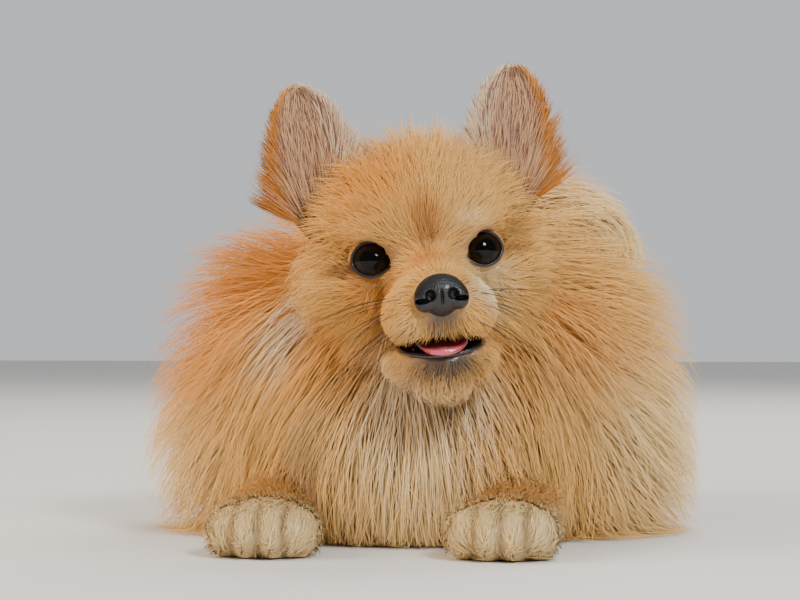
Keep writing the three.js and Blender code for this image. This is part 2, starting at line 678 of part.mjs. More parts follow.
dog.add(headGroup);
addNode(headGroup, 'head', largestBody(headSolid), orangeCoat);
addNode(headGroup, 'lower_jaw', largestBody(jawSolid), creamCoat);
addNode(headGroup, 'tongue', tongueGeometry(), tongueFlesh);
addNode(headGroup, 'nose', largestBody(noseSolid()), noseLeather);
for (const [side, s] of [['left', 1], ['right', -1]]) {
  addNode(headGroup, `eye_${side}`, eyeGeometry(s), eyeGlass);
  addNode(headGroup, `ear_${side}`, earGeometry(s), earCoat);
  addNode(dog, `foreleg_${side}`, largestBody(cutAway(solidOf(forelegGeometry(s)), floorSolid)), creamCoat);
  addNode(dog, `hindleg_${side}`, largestBody(cutAway(thighCoats[s > 0 ? 0 : 1], floorSolid)), orangeCoat);
}
addNode(dog, 'neck', largestBody(neckSolid), creamCoat);
addNode(dog, 'torso', largestBody(torsoSolid), orangeCoat);
addNode(dog, 'tail', largestBody(tailSolid), orangeCoat);

export default dog;
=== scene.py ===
"""A young pomeranian lying on its brisket, dressed over its solid frame.

The dog faces -Y, its left side is +X and the floor is Z = 0, as in the frame of
the solids. Forms, coat and places are worked out in millimetres, and every mesh
is made in metres.
"""

import logging
import math
from dataclasses import dataclass
from enum import Enum
from typing import Callable, Sequence

import bmesh
import bpy
import numpy as np
import openvdb
from mathutils import Matrix, Vector


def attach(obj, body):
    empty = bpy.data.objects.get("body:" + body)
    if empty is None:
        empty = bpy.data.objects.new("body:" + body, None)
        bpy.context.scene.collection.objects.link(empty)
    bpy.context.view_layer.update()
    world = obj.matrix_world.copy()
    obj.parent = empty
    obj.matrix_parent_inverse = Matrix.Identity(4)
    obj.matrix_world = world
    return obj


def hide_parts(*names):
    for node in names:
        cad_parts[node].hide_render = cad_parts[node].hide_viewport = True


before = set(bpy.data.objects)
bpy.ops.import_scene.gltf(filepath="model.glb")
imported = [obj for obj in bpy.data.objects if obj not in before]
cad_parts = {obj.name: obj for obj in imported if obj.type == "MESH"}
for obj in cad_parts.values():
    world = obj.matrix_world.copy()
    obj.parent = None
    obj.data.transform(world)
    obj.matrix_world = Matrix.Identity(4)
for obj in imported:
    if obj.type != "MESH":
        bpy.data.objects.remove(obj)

LOG = logging.getLogger("pomeranian")
logging.basicConfig(level=logging.INFO, format="%(message)s")

Points = np.ndarray
Triple = tuple[float, float, float]
MM = 0.001
ROOT_BODY = "root"
SEED = 20

# Names of what is stored on meshes, most of them read by the finishes
BAKE_MAP = "OFBake"
MARKING = "marking"
STRAND = "strand"
GAZE = "gaze"


class Slot(Enum):
    """Material slots of the record."""

    ORANGE = "orange_coat"
    CREAM = "cream_coat"
    EAR = "ear_coat"
    NOSE = "nose_leather"
    EYE = "eye_gloss"
    TONGUE = "tongue_flesh"


class Side(Enum):
    """Sides of the dog, with the sign of their x."""

    LEFT = 1
    RIGHT = -1

    @property
    def label(self) -> str:
        """Name used in piece names."""
        return self.name.lower()


class Stored(Enum):
    """Kinds of value that a mesh stores for each point, with the name of the value."""

    COLOUR = ("FLOAT_COLOR", "color")
    VECTOR = ("FLOAT_VECTOR", "vector")
    NUMBER = ("FLOAT", "value")


def linear(red: int, green: int, blue: int) -> Points:
    """Turns a display colour of 0 to 255 into linear light.

    Args:
        red: Red as displayed.
        green: Green as displayed.
        blue: Blue as displayed.

    Returns:
        The three linear values.
    """
    shown = [value / 255 for value in (red, green, blue)]
    return np.array([v / 12.92 if v <= 0.04045 else ((v + 0.055) / 1.055) ** 2.4 for v in shown])


def ramp(values: Points, low: float, high: float) -> Points:
    """Smooth step from 0 at low to 1 at high.

    Args:
        values: Values to step.
        low: Where the step starts.
        high: Where the step ends.

    Returns:
        The stepped values.
    """
    part = np.clip((values - low) / (high - low), 0, 1)
    return part * part * (3 - 2 * part)


def blend(colours: Points, colour: Points, share: Points) -> Points:
    """Mixes the colour of each point with another, by a share for each point."""
    return colours * (1 - share[:, None]) + colour * share[:, None]


def unit(vectors: Points) -> Points:
    """Scales rows to length one."""
    return vectors / np.maximum(np.linalg.norm(vectors, axis=-1, keepdims=True), 1e-9)


# Place of the head: the point between the eyes, then its turn and tilt
FACE_POINT = np.array((12.7, -103.2, 106.3))
HEAD_TURN = math.radians(11)
HEAD_TILT = math.radians(-5.8)
HEAD_SPIN = np.array(Matrix.Rotation(HEAD_TURN, 3, "Z") @ Matrix.Rotation(HEAD_TILT, 3, "Y"))

# Head sizes, in the head's own frame: x to the dog's left, y back, z up
EYE_PLACE = np.array((19.2, 8.0, 0.0))
EYE_LOOK = (0.22, -1.0, 0.04)
SOCKET_AHEAD = 7.0
SOCKET_SIZE = (7.9, 6.0, 7.3)
NOSE_PLACE = np.array((0.0, -36.0, -14.8))
NOSE_SIZE = np.array((8.9, 6.2, 7.6))
NOSE_TIP = np.array((0.0, -38.0, -13.0))
MOUTH_PLACE = np.array((0.0, -22.0, -31.3))
MOUTH_SIZE = np.array((15.5, 26.0, 4.6))


def to_head(points: Points) -> Points:
    """Points of the dog in the head's own frame."""
    return (points - FACE_POINT) @ HEAD_SPIN


def from_head(points: Points) -> Points:
    """Points of the head's own frame in the dog's frame."""
    return np.asarray(points) @ HEAD_SPIN.T + FACE_POINT


def turn_from_head(vectors: Points) -> Points:
    """Directions of the head's own frame in the dog's frame."""
    return np.asarray(vectors) @ HEAD_SPIN.T


@dataclass(frozen=True)
class Egg:
    """An egg of flesh, with the depth of the coat that it grows."""

    centre: Triple
    radii: Triple
    coat: float = 0.0

    def distance(self, points: Points) -> Points:
        """Measures points against the egg.

        Args:
            points: Points in the egg's frame.

        Returns:
            Their signed distance, which is negative inside.
        """
        scaled = (points - self.centre) / self.radii
        near = np.linalg.norm(scaled, axis=-1)
        slope = np.linalg.norm(scaled / self.radii, axis=-1)
        return near * (near - 1) / np.maximum(slope, 1e-6)

    def bounds(self) -> tuple[Points, Points]:
        """Lowest and highest corner."""
        return np.subtract(self.centre, self.radii), np.add(self.centre, self.radii)

    def on(self, side: Side) -> "Egg":
        """The same egg on a side, when it is given for the left."""
        return Egg((side.value * self.centre[0], *self.centre[1:]), self.radii, self.coat)


@dataclass(frozen=True)
class Limb:
    """A tapered limb of flesh between two points, with the depth of its coat."""

    start: Triple
    start_radius: float
    end: Triple
    end_radius: float
    coat: float

    def distance(self, points: Points) -> Points:
        """Measures points against the limb.

        Args:
            points: Points in the limb's frame.

        Returns:
            Their signed distance, which is negative inside.
        """
        axis = np.subtract(self.end, self.start)
        rel = points - self.start
        share = np.clip(rel @ axis / (axis @ axis), 0, 1)
        radius = self.start_radius + share * (self.end_radius - self.start_radius)
        return np.linalg.norm(rel - share[..., None] * axis, axis=-1) - radius

    def bounds(self) -> tuple[Points, Points]:
        """Finds the box round the limb.

        Returns:
            Its lowest and highest corner.
        """
        ends = ((self.start, self.start_radius), (self.end, self.end_radius))
        low = np.min([np.subtract(place, radius) for place, radius in ends], axis=0)
        high = np.max([np.add(place, radius) for place, radius in ends], axis=0)
        return low, high


def full_coat(points: Points) -> Points:
    """Coat at its full depth everywhere."""
    return np.ones(points.shape[:-1])


@dataclass
class Flesh:
    """A smooth union of forms, and the coat round it.

    The forms of the head are held in the head's own frame.
    """

    SLOPE_STEP = 0.5
    LEAST_SLOPE = 0.25

    forms: Sequence[Egg | Limb]
    blend: float
    thinning: Callable[[Points], Points] = full_coat
    on_head: bool = False

    def measure(self, points: Points) -> tuple[Points, Points]:
        """Measures points against the flesh.

        Args:
            points: Points in the dog's frame.

        Returns:
            Their signed distance, and the coat's depth there.
        """
        local = to_head(points) if self.on_head else points
        distances = np.stack([form.distance(local) for form in self.forms])
        least = distances.min(axis=0)
        weights = np.exp((least - distances) / self.blend)
        total = weights.sum(axis=0)
        coats = np.array([form.coat for form in self.forms])
        coat = np.tensordot(coats, weights, 1) / total
        return least - self.blend * np.log(total), coat * self.thinning(local)

    def level(self, points: Points, share: Points | float) -> Points:
        """Distance of points outside a share of the coat's depth."""
        distance, coat = self.measure(points)
        return distance - coat * share

    def outward(self, points: Points, share: Points | float = 0.0) -> tuple[Points, Points]:
        """Finds how the level rises round points.

        Args:
            points: Points in the dog's frame.
            share: Share of the coat's depth.

        Returns:
            Their level, and its slope there.
        """
        here = self.level(points, share)
        shifts = self.SLOPE_STEP * np.eye(3)
        slopes = [(self.level(points + shift, share) - here) / self.SLOPE_STEP for shift in shifts]
        return here, np.stack(slopes, axis=-1)

    def settle(self, points: Points, share: Points | float, rounds: int = 2) -> tuple[Points, Points]:
        """Moves points onto the surface of a share of the coat.

        Args:
            points: Points near the surface.
            share: Share of the coat's depth.
            rounds: How often the move is refined.

        Returns:
            The moved points and the outward directions.
        """
        slope = np.zeros_like(points)
        for _ in range(rounds):
            here, slope = self.outward(points, share)
            steep = np.maximum((slope ** 2).sum(axis=-1), self.LEAST_SLOPE)
            points = points - slope * (here / steep)[:, None]
        return points, unit(slope)


def pair(make: Callable[[int], Egg | Limb]) -> list[Egg | Limb]:
    """Makes a form for each side."""
    return [make(1), make(-1)]


LEAST_COAT = 0.12


def face_coat(local: Points) -> Points:
    """Coat on the head: short on the face, full on the crown and cheeks."""
    return np.maximum(LEAST_COAT, ramp(local[..., 1], -4, 32))


def trunk_coat(points: Points) -> Points:
    """Coat on the trunk, which thins under the collar of the ruff."""
    return np.maximum(LEAST_COAT, ramp(points[..., 1], -35, 45))


HEAD = Flesh(
    forms=[
        Egg((0, 25, 9), (31, 31, 27), 20),
        Egg((0, 10, 12), (22, 17, 16), 8),
        *pair(lambda s: Egg((s * 15, 5, 10), (9, 7, 6), 3)),
        *pair(lambda s: Egg((s * 24, 17, -10), (12, 14, 12), 22)),
        *pair(lambda s: Egg((s * 17, 22, -24), (11, 15, 11), 14)),
        Limb((0, 2, -9), 11, (0, -27, -14), 8.5, 10),
        *pair(lambda s: Egg((s * 8.6, -21, -21), (10, 14.5, 9.6), 10)),
    ],
    blend=3,
    thinning=face_coat,
    on_head=True,
)
JAW = Flesh(
    forms=[
        Limb((0, 10, -38), 9, (0, -20, -38.5), 6, 4),
        *pair(lambda s: Egg((s * 10, -8, -37), (9, 17, 6.5), 2.4)),
        Egg((0, -19, -42), (8, 8, 6), 5),
    ],
    blend=3,
    on_head=True,
)
NECK = Flesh(
    forms=[
        Limb((6, -24, 86), 26, (0, 0, 66), 38, 54),
        Limb((10, -70, 60), 12, (0, -45, 52), 22, 27),
        Egg((0, -22, 48), (41, 46, 47), 47),
        Egg((2, -64, 30), (28, 25, 25), 27),
        *pair(lambda s: Egg((s * 40, -12, 40), (20, 30, 34), 58)),
    ],
    blend=7,
)
TRUNK = Flesh(
    forms=[
        Egg((0, 30, 50), (42, 70, 50), 28),
        Egg((0, 90, 48), (36, 48, 42), 26),
        Egg((0, 112, 48), (36, 30, 42), 26),
    ],
    blend=7,
    thinning=trunk_coat,
)
TAIL_PATH = ((0, 118, 82), (2, 138, 100), (12, 132, 120), (32, 92, 124), (50, 56, 119), (62, 34, 112))
TAIL = Flesh(
    forms=[
        Limb(TAIL_PATH[i], 9 - 0.8 * i, TAIL_PATH[i + 1], 8.2 - 0.8 * i, 12 + 3 * i)
        for i in range(len(TAIL_PATH) - 1)
    ],
    blend=7,
)
PAW_PLACE = np.array((42.0, -126.0, 9.5))
TOE_X = (-13.2, -4.8, 4.8, 13.2)
OUTER_TOE_X = 10.0
TOE_SIZE = (5.8, 9.5, 8.6)
TOE_GAPS = (-9.0, 0.0, 9.0)


def foreleg(side: int) -> Flesh:
    """Forms one foreleg, down to its four toes.

    Args:
        side: Sign of the side's x.

    Returns:
        Its flesh.
    """
    toes = [
        Egg((side * PAW_PLACE[0] + x, -133 if abs(x) > OUTER_TOE_X else -139, 8.2), TOE_SIZE, 2.5)
        for x in TOE_X
    ]
    return Flesh(
        forms=[
            Limb((side * 50, -5, 22), 16, (side * 56, -40, 16), 13, 6),
            Limb((side * 55, -30, 15), 13, (side * PAW_PLACE[0], -112, 11), 10.5, 5),
            Egg((side * PAW_PLACE[0], PAW_PLACE[1], PAW_PLACE[2]), (17, 17, 11), 3),
            *toes,
        ],
        blend=1.6,
    )


def hindleg(side: int) -> Flesh:
    """Forms one folded hind leg.

    Args:
        side: Sign of the side's x.

    Returns:
        Its flesh.
    """
    return Flesh(
        forms=[
            Egg((side * 44, 85, 38), (22, 38, 36), 17),
            Limb((side * 57, 105, 14), 13, (side * 60, 60, 12), 11, 8),
            Egg((side * 60, 42, 8.5), (14, 17, 9.5), 3),
        ],
        blend=7,
    )


FORELEGS = {side: foreleg(side.value) for side in Side}
HINDLEGS = {side: hindleg(side.value) for side in Side}


def linked(name: str, data: bpy.types.ID) -> bpy.types.Object:
    """Makes an object of some data and links it to the scene.

    Args:
        name: Name of the object.
        data: Its mesh, lamp or camera.

    Returns:
        The object.
    """
    holder = bpy.data.objects.new(name, data)
    bpy.context.scene.collection.objects.link(holder)
    return holder


class Meshes:
    """Turns arrays of points in millimetres into Blender meshes in metres."""

    @staticmethod
    def plain(name: str, points: Points, faces: Sequence[Sequence[int]]) -> bpy.types.Object:
        """Makes a smooth object whose faces point outwards.

        Args:
            name: Name of the object and mesh.
            points: Points in millimetres.
            faces: Corner numbers of each face.

        Returns:
            The linked object.
        """
        mesh = bpy.data.meshes.new(name)
        mesh.from_pydata((np.asarray(points) * MM).tolist(), [], [list(map(int, face)) for face in faces])
        mesh.polygons.foreach_set("use_smooth", [True] * len(mesh.polygons))
        shape = bmesh.new()
        shape.from_mesh(mesh)
        bmesh.ops.recalc_face_normals(shape, faces=shape.faces)
        shape.to_mesh(mesh)
        shape.free()
        mesh.update()
        return linked(name, mesh)

    @staticmethod
    def triangles(name: str, points: Points, corners: Points) -> bpy.types.Object:
        """Makes a smooth object of many triangles at once, wound as they are given.

        Args:
            name: Name of the object and mesh.
            points: Points in millimetres.
            corners: Corner numbers, triangles by 3.

        Returns:
            The linked object.
        """
        mesh = bpy.data.meshes.new(name)
        mesh.vertices.add(len(points))
        mesh.vertices.foreach_set("co", (points * MM).astype(np.float32).ravel())
        mesh.loops.add(corners.size)
        mesh.loops.foreach_set("vertex_index", corners.astype(np.int32).ravel())
        mesh.polygons.add(len(corners))
        mesh.polygons.foreach_set("loop_start", np.arange(0, corners.size, 3, dtype=np.int32))
        mesh.polygons.foreach_set("use_smooth", np.ones(len(corners), dtype=bool))
        mesh.update(calc_edges=True)
        return linked(name, mesh)

    @staticmethod
    def store(piece: bpy.types.Object, name: str, kind: Stored, values: Points) -> None:
        """Stores a value for each point of a piece.

        Args:
            piece: The piece.
            name: Name to store the values under.
            kind: Kind of the values.
            values: One value, vector or colour for each point.
        """
        data_type, label = kind.value
        layer = piece.data.attributes.new(name, data_type, "POINT")
        layer.data.foreach_set(label, np.asarray(values, dtype=np.float32).ravel())

    @classmethod
    def mark(cls, piece: bpy.types.Object, colours: Points) -> None:
        """Stores the marking of a piece.

        Args:
            piece: The piece.
            colours: One colour, or one for each point.
        """
        full = np.ones((len(piece.data.vertices), 4))
        full[:, :3] = colours
        cls.store(piece, MARKING, Stored.COLOUR, full)

    @staticmethod
    def points_of(piece: bpy.types.Object) -> Points:
        """Reads the points of a piece.

        Args:
            piece: The piece.

        Returns:
            Its points in millimetres.
        """
        flat = np.empty(3 * len(piece.data.vertices))
        piece.data.vertices.foreach_get("co", flat)
        return flat.reshape(-1, 3) / MM

    @staticmethod
    def join(name: str, pieces: Sequence[bpy.types.Object]) -> bpy.types.Object:
        """Joins pieces into one.

        Args:
            name: Name of the whole.
            pieces: The pieces, of which the first takes in the others.

        Returns:
            The whole piece.
        """
        whole = pieces[0]
        chosen = {"active_object": whole, "selected_editable_objects": list(pieces), "object": whole}
        with bpy.context.temp_override(**chosen):
            bpy.ops.object.join()
        whole.name = name
        whole.data.name = name
        return whole


PATCH_EDGE = (0.35, 1.15)


@dataclass(frozen=True)
class Patch:
    """A soft patch of colour, given as the share that it covers at its centre."""

    centre: Triple
    radii: Triple
    colour: Points
    cover: float

    def lay(self, points: Points, colours: Points) -> Points:
        """Lays the patch over colours at points."""
        away = np.linalg.norm((points - self.centre) / self.radii, axis=-1)
        return blend(colours, self.colour, self.cover * (1 - ramp(away, *PATCH_EDGE)))


GOLD = linear(217, 136, 42)
ORANGE = linear(206, 114, 24)
RUST = linear(170, 92, 28)
TAN = linear(224, 164, 84)
CREAM = linear(236, 200, 138)
PALE = linear(236, 218, 190)
SOOT = linear(84, 78, 78)
UMBER = linear(100, 56, 22)
INK = linear(46, 42, 44)

FACE_PATCHES = (
    Patch((-22, 0, 34), (28, 40, 24), GOLD, 0.75),
    Patch((16, 0, 38), (26, 40, 22), TAN, 0.6),
    Patch((-24, -6, -14), (17, 22, 18), GOLD, 0.8),
    Patch((22, -6, -14), (16, 22, 18), CREAM, 0.8),
    Patch((-17, -3, 13), (10, 10, 5), TAN, 0.7),
    Patch((16, -3, 12), (10, 10, 5), CREAM, 0.6),
    Patch((0, 0, 13), (8.5, 18, 13), RUST, 0.85),
    Patch((0, -2, 7), (6, 12, 9), UMBER, 0.85),
    Patch((-2, -16, -3), (8, 14, 7), ORANGE, 0.7),
    Patch((-14, -18, -18), (10, 14, 8), GOLD, 0.6),
    Patch((14, -20, -17), (9, 16, 10), PALE, 0.9),
    Patch((-11, -26, -24), (7, 12, 7), CREAM, 0.85),
    Patch((0, -38, -24), (9, 12, 6.5), SOOT, 0.85),
    Patch((-33, 4, -2), (13, 9, 3.4), UMBER, 0.85),
    Patch((33, 4, 0), (12, 9, 2.6), UMBER, 0.6),
    Patch((-19.2, 0, -1), (12.5, 12, 11.5), UMBER, 0.6),
    Patch((19.2, 0, 0), (12, 12, 11), SOOT, 0.45),
    Patch((-19, -8, -31), (9, 12, 4.2), UMBER, 0.85),
    Patch((19, -8, -30), (9, 12, 4.2), SOOT, 0.8),
    Patch((0, -27, -40), (18, 15, 9), INK, 0.92),
    Patch((0, -20, -54), (18, 18, 9), CREAM, 0.7),
)
BODY_PATCHES = (
    Patch((-82, -25, 105), (60, 70, 60), ORANGE, 0.7),
    Patch((-82, -45, 62), (46, 60, 40), ORANGE, 0.6),
    Patch((-30, -80, 66), (26, 40, 22), GOLD, 0.75),
    Patch((-92, -40, 20), (40, 60, 30), CREAM, 0.55),
    Patch((84, -25, 104), (50, 70, 44), TAN, 0.7),
    Patch((70, -55, 74), (26, 44, 32), ORANGE, 0.6),
    Patch((96, -30, 34), (44, 60, 44), CREAM, 0.8),
    Patch((-46, -76, 76), (14, 34, 18), PALE, 0.8),
    Patch((44, -78, 62), (17, 34, 20), RUST, 0.5),
    Patch((10, -92, 46), (34, 44, 34), PALE, 0.85),
    Patch((8, -95, 16), (50, 40, 26), CREAM, 0.75),
    Patch((-34, -98, 32), (12, 26, 20), SOOT, 0.5),
    Patch((-58, -80, 44), (24, 30, 26), TAN, 0.6),
    Patch((38, -90, 26), (16, 26, 20), TAN, 0.5),
)


SMUDGE_WAVES = ((1.0, 0.6, -0.7), (-0.5, 1.1, 0.8), (0.9, -0.8, 0.6), (0.3, 0.7, 1.3))


def smudges(points: Points, wide: float, seed: float) -> Points:
    """Slow uneven variation over a surface, from -1 to 1.

    Args:
        points: Points in millimetres.
        wide: Width of a smudge.
        seed: Shifts the pattern.

    Returns:
        One value for each point.
    """
    total = np.zeros(len(points))
    for i, way in enumerate(SMUDGE_WAVES):
        phase = points @ np.array(way) * (2 * math.pi / wide) * (1 + 0.37 * i)
        total += np.sin(phase + seed * (i + 1.7))
    return total / len(SMUDGE_WAVES)


@dataclass(frozen=True)
class Smudge:
    """How uneven a coat's colour is, and how wide its smudges are in millimetres."""

    size: float
    wide: float
    seed: float

    def over(self, points: Points, colours: Points) -> Points:
        """Makes the colours of points uneven."""
        return colours * (1 + self.size * smudges(points, self.wide, self.seed))[:, None]


HEAD_SMUDGE = Smudge(0.08, 11, 2)
BODY_SMUDGE = Smudge(0.1, 34, 5)
PAW_SMUDGE = Smudge(0.1, 12, 9)
PLUME_SMUDGE = Smudge(0.12, 20, 4)
EAR_SMUDGE = Smudge(0.12, 9, 7)
PAW_GOLD = 0.8
# Strength of the painted shade between the toes
TOE_SHADE = 0.5
EAR_TIP_LIGHT = 0.6


def body_marking(points: Points) -> Points:
    """Marks the neck, trunk and hind legs: orange over the back, with the patches.

    Args:
        points: Points of the dog.

    Returns:
        Their colours.
    """
    back = ramp(points[:, 1], 0, 60) * ramp(points[:, 2], 20, 90)
    colours = blend(TAN, ORANGE, back)
    for patch in BODY_PATCHES:
        colours = patch.lay(points, colours)
    return BODY_SMUDGE.over(points, colours)


def head_marking(points: Points) -> Points:
    """Marks the head and the jaw, over the body's marking.

    Args:
        points: Points of the dog.

    Returns:
        Their colours.
    """
    local = to_head(points)
    colours = body_marking(points)
    for patch in FACE_PATCHES:
        colours = patch.lay(local, colours)
    return HEAD_SMUDGE.over(points, colours)


def paw_marking(points: Points) -> Points:
    """Marks the forelegs: cream, gold over the wrist, and painted shade between the toes.

    Args:
        points: Points of the dog.

    Returns:
        Their colours.
    """
    over = ramp(points[:, 2], 9, 20) * ramp(points[:, 1], -140, -116)
    colours = blend(CREAM, GOLD, PAW_GOLD * over)
    across = np.abs(points[:, 0]) - PAW_PLACE[0]
    gaps = np.min([np.abs(across - middle) for middle in TOE_GAPS], axis=0)
    # Painted shade in the gaps between the toes
    toe_gap_shade = (1 - ramp(gaps, 0.3, 1.8)) * (1 - ramp(points[:, 1], -140, -130))
    return PAW_SMUDGE.over(points, blend(colours, UMBER, TOE_SHADE * toe_gap_shade))


def plume_marking(points: Points) -> Points:
    """Coat colour of the tail: orange at its root, cream at its end."""
    return PLUME_SMUDGE.over(points, blend(ORANGE, CREAM, ramp(points[:, 1], 110, 30)))


def ear_marking(points: Points) -> Points:
    """Coat colour of the ears: rust, with a lighter edge at the tip."""
    tip = EAR_TIP_LIGHT * ramp(to_head(points)[:, 2], 50, 68)
    return EAR_SMUDGE.over(points, blend(0.6 * RUST + 0.4 * GOLD, TAN, tip))


@dataclass(frozen=True)
class Opening:
    """An egg that is cut out of the flesh, in the head's own frame."""

    egg: Egg
    reach: float

    def distance(self, points: Points) -> Points:
        """Signed distance of points of the dog's frame to the opening."""
        return self.egg.distance(to_head(points))

    def box(self) -> tuple[Points, Points]:
        """Corners of the part of the dog's frame that it may cut."""
        middle = from_head(self.egg.centre)
        return middle - self.reach, middle + self.reach


def eye_axis(side: Side) -> Points:
    """Direction that an eye looks along, in the head's own frame."""
    return unit(np.array(EYE_LOOK) * (side.value, 1, 1))


def eye_centre(side: Side) -> Points:
    """Centre of an eyeball, in the head's own frame."""
    return EYE_PLACE * (side.value, 1, 1)


MOUTH = Opening(Egg(tuple(MOUTH_PLACE), tuple(MOUTH_SIZE)), 34)
NOSE_ROOM = Egg(tuple(NOSE_PLACE), tuple(NOSE_SIZE + 0.4))
SOCKETS = {
    side: Opening(Egg(tuple(eye_centre(side) + SOCKET_AHEAD * eye_axis(side)), SOCKET_SIZE), 28)
    for side in Side
}


@dataclass
class Skin:
    """The one skin of flesh under the coat, with its carved mouth and eyes.

    Its parts stand by name, in the order in which roots are told apart.
    """

    parts: dict[str, Flesh]
    cell: float = 1.5
    merge: float = 2.4
    margin: float = 12.0
    far: float = 20.0
    under: float = 0.4
    low: Triple = (-84.0, -154.0, -4.0)
    high: Triple = (84.0, 164.0, 152.0)

    def distance(self, points: Points) -> Points:
        """Measures points against the flesh, before the openings are cut.

        Args:
            points: Points of the dog.

        Returns:
            Their signed distance.
        """
        distances = np.stack([part.measure(points)[0] for part in self.parts.values()])
        least = distances.min(axis=0)
        return least - self.merge * np.log(np.exp((least - distances) / self.merge).sum(axis=0))

    def nearest(self, points: Points) -> Points:
        """Number of the part that each point belongs to."""
        return np.stack([part.measure(points)[0] for part in self.parts.values()]).argmin(axis=0)

    def volume(self) -> Points:
        """Fills a grid with the distance to the carved flesh.

        Returns:
            The grid.
        """
        counts = np.ceil(np.subtract(self.high, self.low) / self.cell).astype(int)
        total = np.zeros(counts, dtype=np.float64)
        for part in self.parts.values():
            corners = np.concatenate([form.bounds() for form in part.forms])
            low, high = corners.min(axis=0), corners.max(axis=0)
            if part.on_head:
                boxed = np.stack(np.meshgrid(*zip(low, high), indexing="ij"), axis=-1)
                placed = from_head(boxed.reshape(-1, 3))
                low, high = placed.min(axis=0), placed.max(axis=0)
            cells, points = self.window(low - self.margin, high + self.margin, counts)
            total[cells] += np.exp(-np.clip(part.measure(points)[0], -60, 40) / self.merge)
        volume = np.where(total > 0, -self.merge * np.log(np.maximum(total, 1e-30)), self.far)
        for opening in (*SOCKETS.values(), MOUTH):
            cells, points = self.window(*opening.box(), counts)
            volume[cells] = np.maximum(volume[cells], -opening.distance(points))
        heights = self.low[2] + self.cell * np.arange(counts[2])
        return np.maximum(volume, (self.under - heights)[None, None, :])

    def window(self, low: Points, high: Points, counts: Points) -> tuple[tuple[slice, ...], Points]:
        """Picks the cells of the grid between two corners.

        Args:
            low: Lowest corner.
            high: Highest corner.
            counts: Cells of the grid along each axis.

        Returns:
            The cells, and their points.
        """
        first = np.clip(np.floor((low - self.low) / self.cell).astype(int), 0, counts)
        last = np.clip(np.ceil((high - self.low) / self.cell).astype(int) + 1, 0, counts)
        axes = [self.low[i] + self.cell * np.arange(first[i], last[i]) for i in range(3)]
        points = np.stack(np.meshgrid(*axes, indexing="ij"), axis=-1)
        return tuple(slice(a, b) for a, b in zip(first, last)), points

    def surface(self) -> tuple[Points, list[Points]]:
        """Points and faces of the skin."""
        return contour(self.volume(), self.far, self.low, self.cell)


def contour(volume: Points, far: float, low: Sequence[float], cell: float) -> tuple[Points, list[Points]]:
    """Turns a grid of distances into the surface where they are 0.

    Args:
        volume: The grid.
        far: Distance outside the grid.
        low: Place of its first cell, in millimetres.
        cell: Size of a cell.

    Returns:
        Points and faces of the surface.
    """
    grid = openvdb.FloatGrid(far)
    grid.copyFromArray(volume.astype(np.float32))
    points, triangles, quads = grid.convertToPolygons(isovalue=0.0, adaptivity=0.0)
    return np.asarray(points, dtype=float) * cell + low, [*np.asarray(triangles), *np.asarray(quads)]


class Sheet:
    """Closed shells made from a grid of rows and columns."""

    @staticmethod
    def quads(rows: int, columns: int, round_rows: bool = False, round_columns: bool = False) -> list[tuple]:
        """Joins the points of a grid by quads.

        Args:
            rows: Rows of points.
            columns: Points in a row.
            round_rows: Whether the last row meets the first.
            round_columns: Whether the last column meets the first.

        Returns:
            Corner numbers of each quad.
        """
        return [
            (i * columns + j, i * columns + (j + 1) % columns,
             (i + 1) % rows * columns + (j + 1) % columns, (i + 1) % rows * columns + j)
            for i in range(rows - (not round_rows))
            for j in range(columns - (not round_columns))
        ]

    @classmethod
    def closed(cls, name: str, front: Points, back: Points) -> bpy.types.Object:
        """Closes two faces of the same grid into one shell.

        Args:
            name: Name of the piece.
            front: Points of the front face, rows by columns by 3.
            back: Points of the back face, in the same order.

        Returns:
            The shell.
        """
        rows, columns = front.shape[:2]
        size = rows * columns
        faces = cls.quads(rows, columns)
        faces += [tuple(size + corner for corner in face[::-1]) for face in faces]
        rim = [(0, j) for j in range(columns)]
        rim += [(i, columns - 1) for i in range(1, rows)]
        rim += [(rows - 1, j) for j in range(columns - 2, -1, -1)]
        rim += [(i, 0) for i in range(rows - 2, 0, -1)]
        numbers = [i * columns + j for i, j in rim]
        faces += [(b, a, size + a, size + b) for a, b in zip(numbers, numbers[1:] + numbers[:1])]
        return Meshes.plain(name, np.concatenate([front.reshape(-1, 3), back.reshape(-1, 3)]), faces)

    @classmethod
    def capped(cls, name: str, rings: Points) -> bpy.types.Object:
        """Closes a stack of round rings with a cap at each end.

        Args:
            name: Name of the piece.
            rings: Points, rings by sides by 3.

        Returns:
            The closed piece.
        """
        count, sides = rings.shape[:2]
        faces = cls.quads(count, sides, round_columns=True)
        faces.append(tuple(range(sides))[::-1])
        faces.append(tuple((count - 1) * sides + j for j in range(sides)))
        return Meshes.plain(name, rings.reshape(-1, 3), faces)

    @classmethod
    def tube(cls, name: str, path: Points, radii: Points, sides: int) -> bpy.types.Object:
        """Sweeps a round section along a path.

        Args:
            name: Name of the piece.
            path: Points of the path.
            radii: Radius at each point.
            sides: Sides of the section.

        Returns:
            The closed tube.
        """
        along = unit(np.gradient(path, axis=0))
        across = unit(np.cross(along, (0.0, 0.0, 1.0)))
        over = np.cross(across, along)
        turns = np.linspace(0, 2 * math.pi, sides, endpoint=False)[None, :, None]
        spokes = across[:, None] * np.cos(turns) + over[:, None] * np.sin(turns)
        return cls.capped(name, path[:, None] + radii[:, None, None] * spokes)


@dataclass
class Roots:
    """Where strands start, with the direction out of the surface under them."""

    points: Points
    outward: Points

    def keep(self, chosen: Points) -> "Roots":
        """Only the chosen roots."""
        return Roots(self.points[chosen], self.outward[chosen])


@dataclass(frozen=True)
class Fur:
    """How the strands of one coat piece grow. Lengths are in millimetres."""

    name: str
    count: int
    rings: int
    width: float
    length: tuple[float, float]
    reach: tuple[float, float]
    clump: float
    cell: float
    slot: Slot
    loose: float = 0.12
    droop: float = 0.0


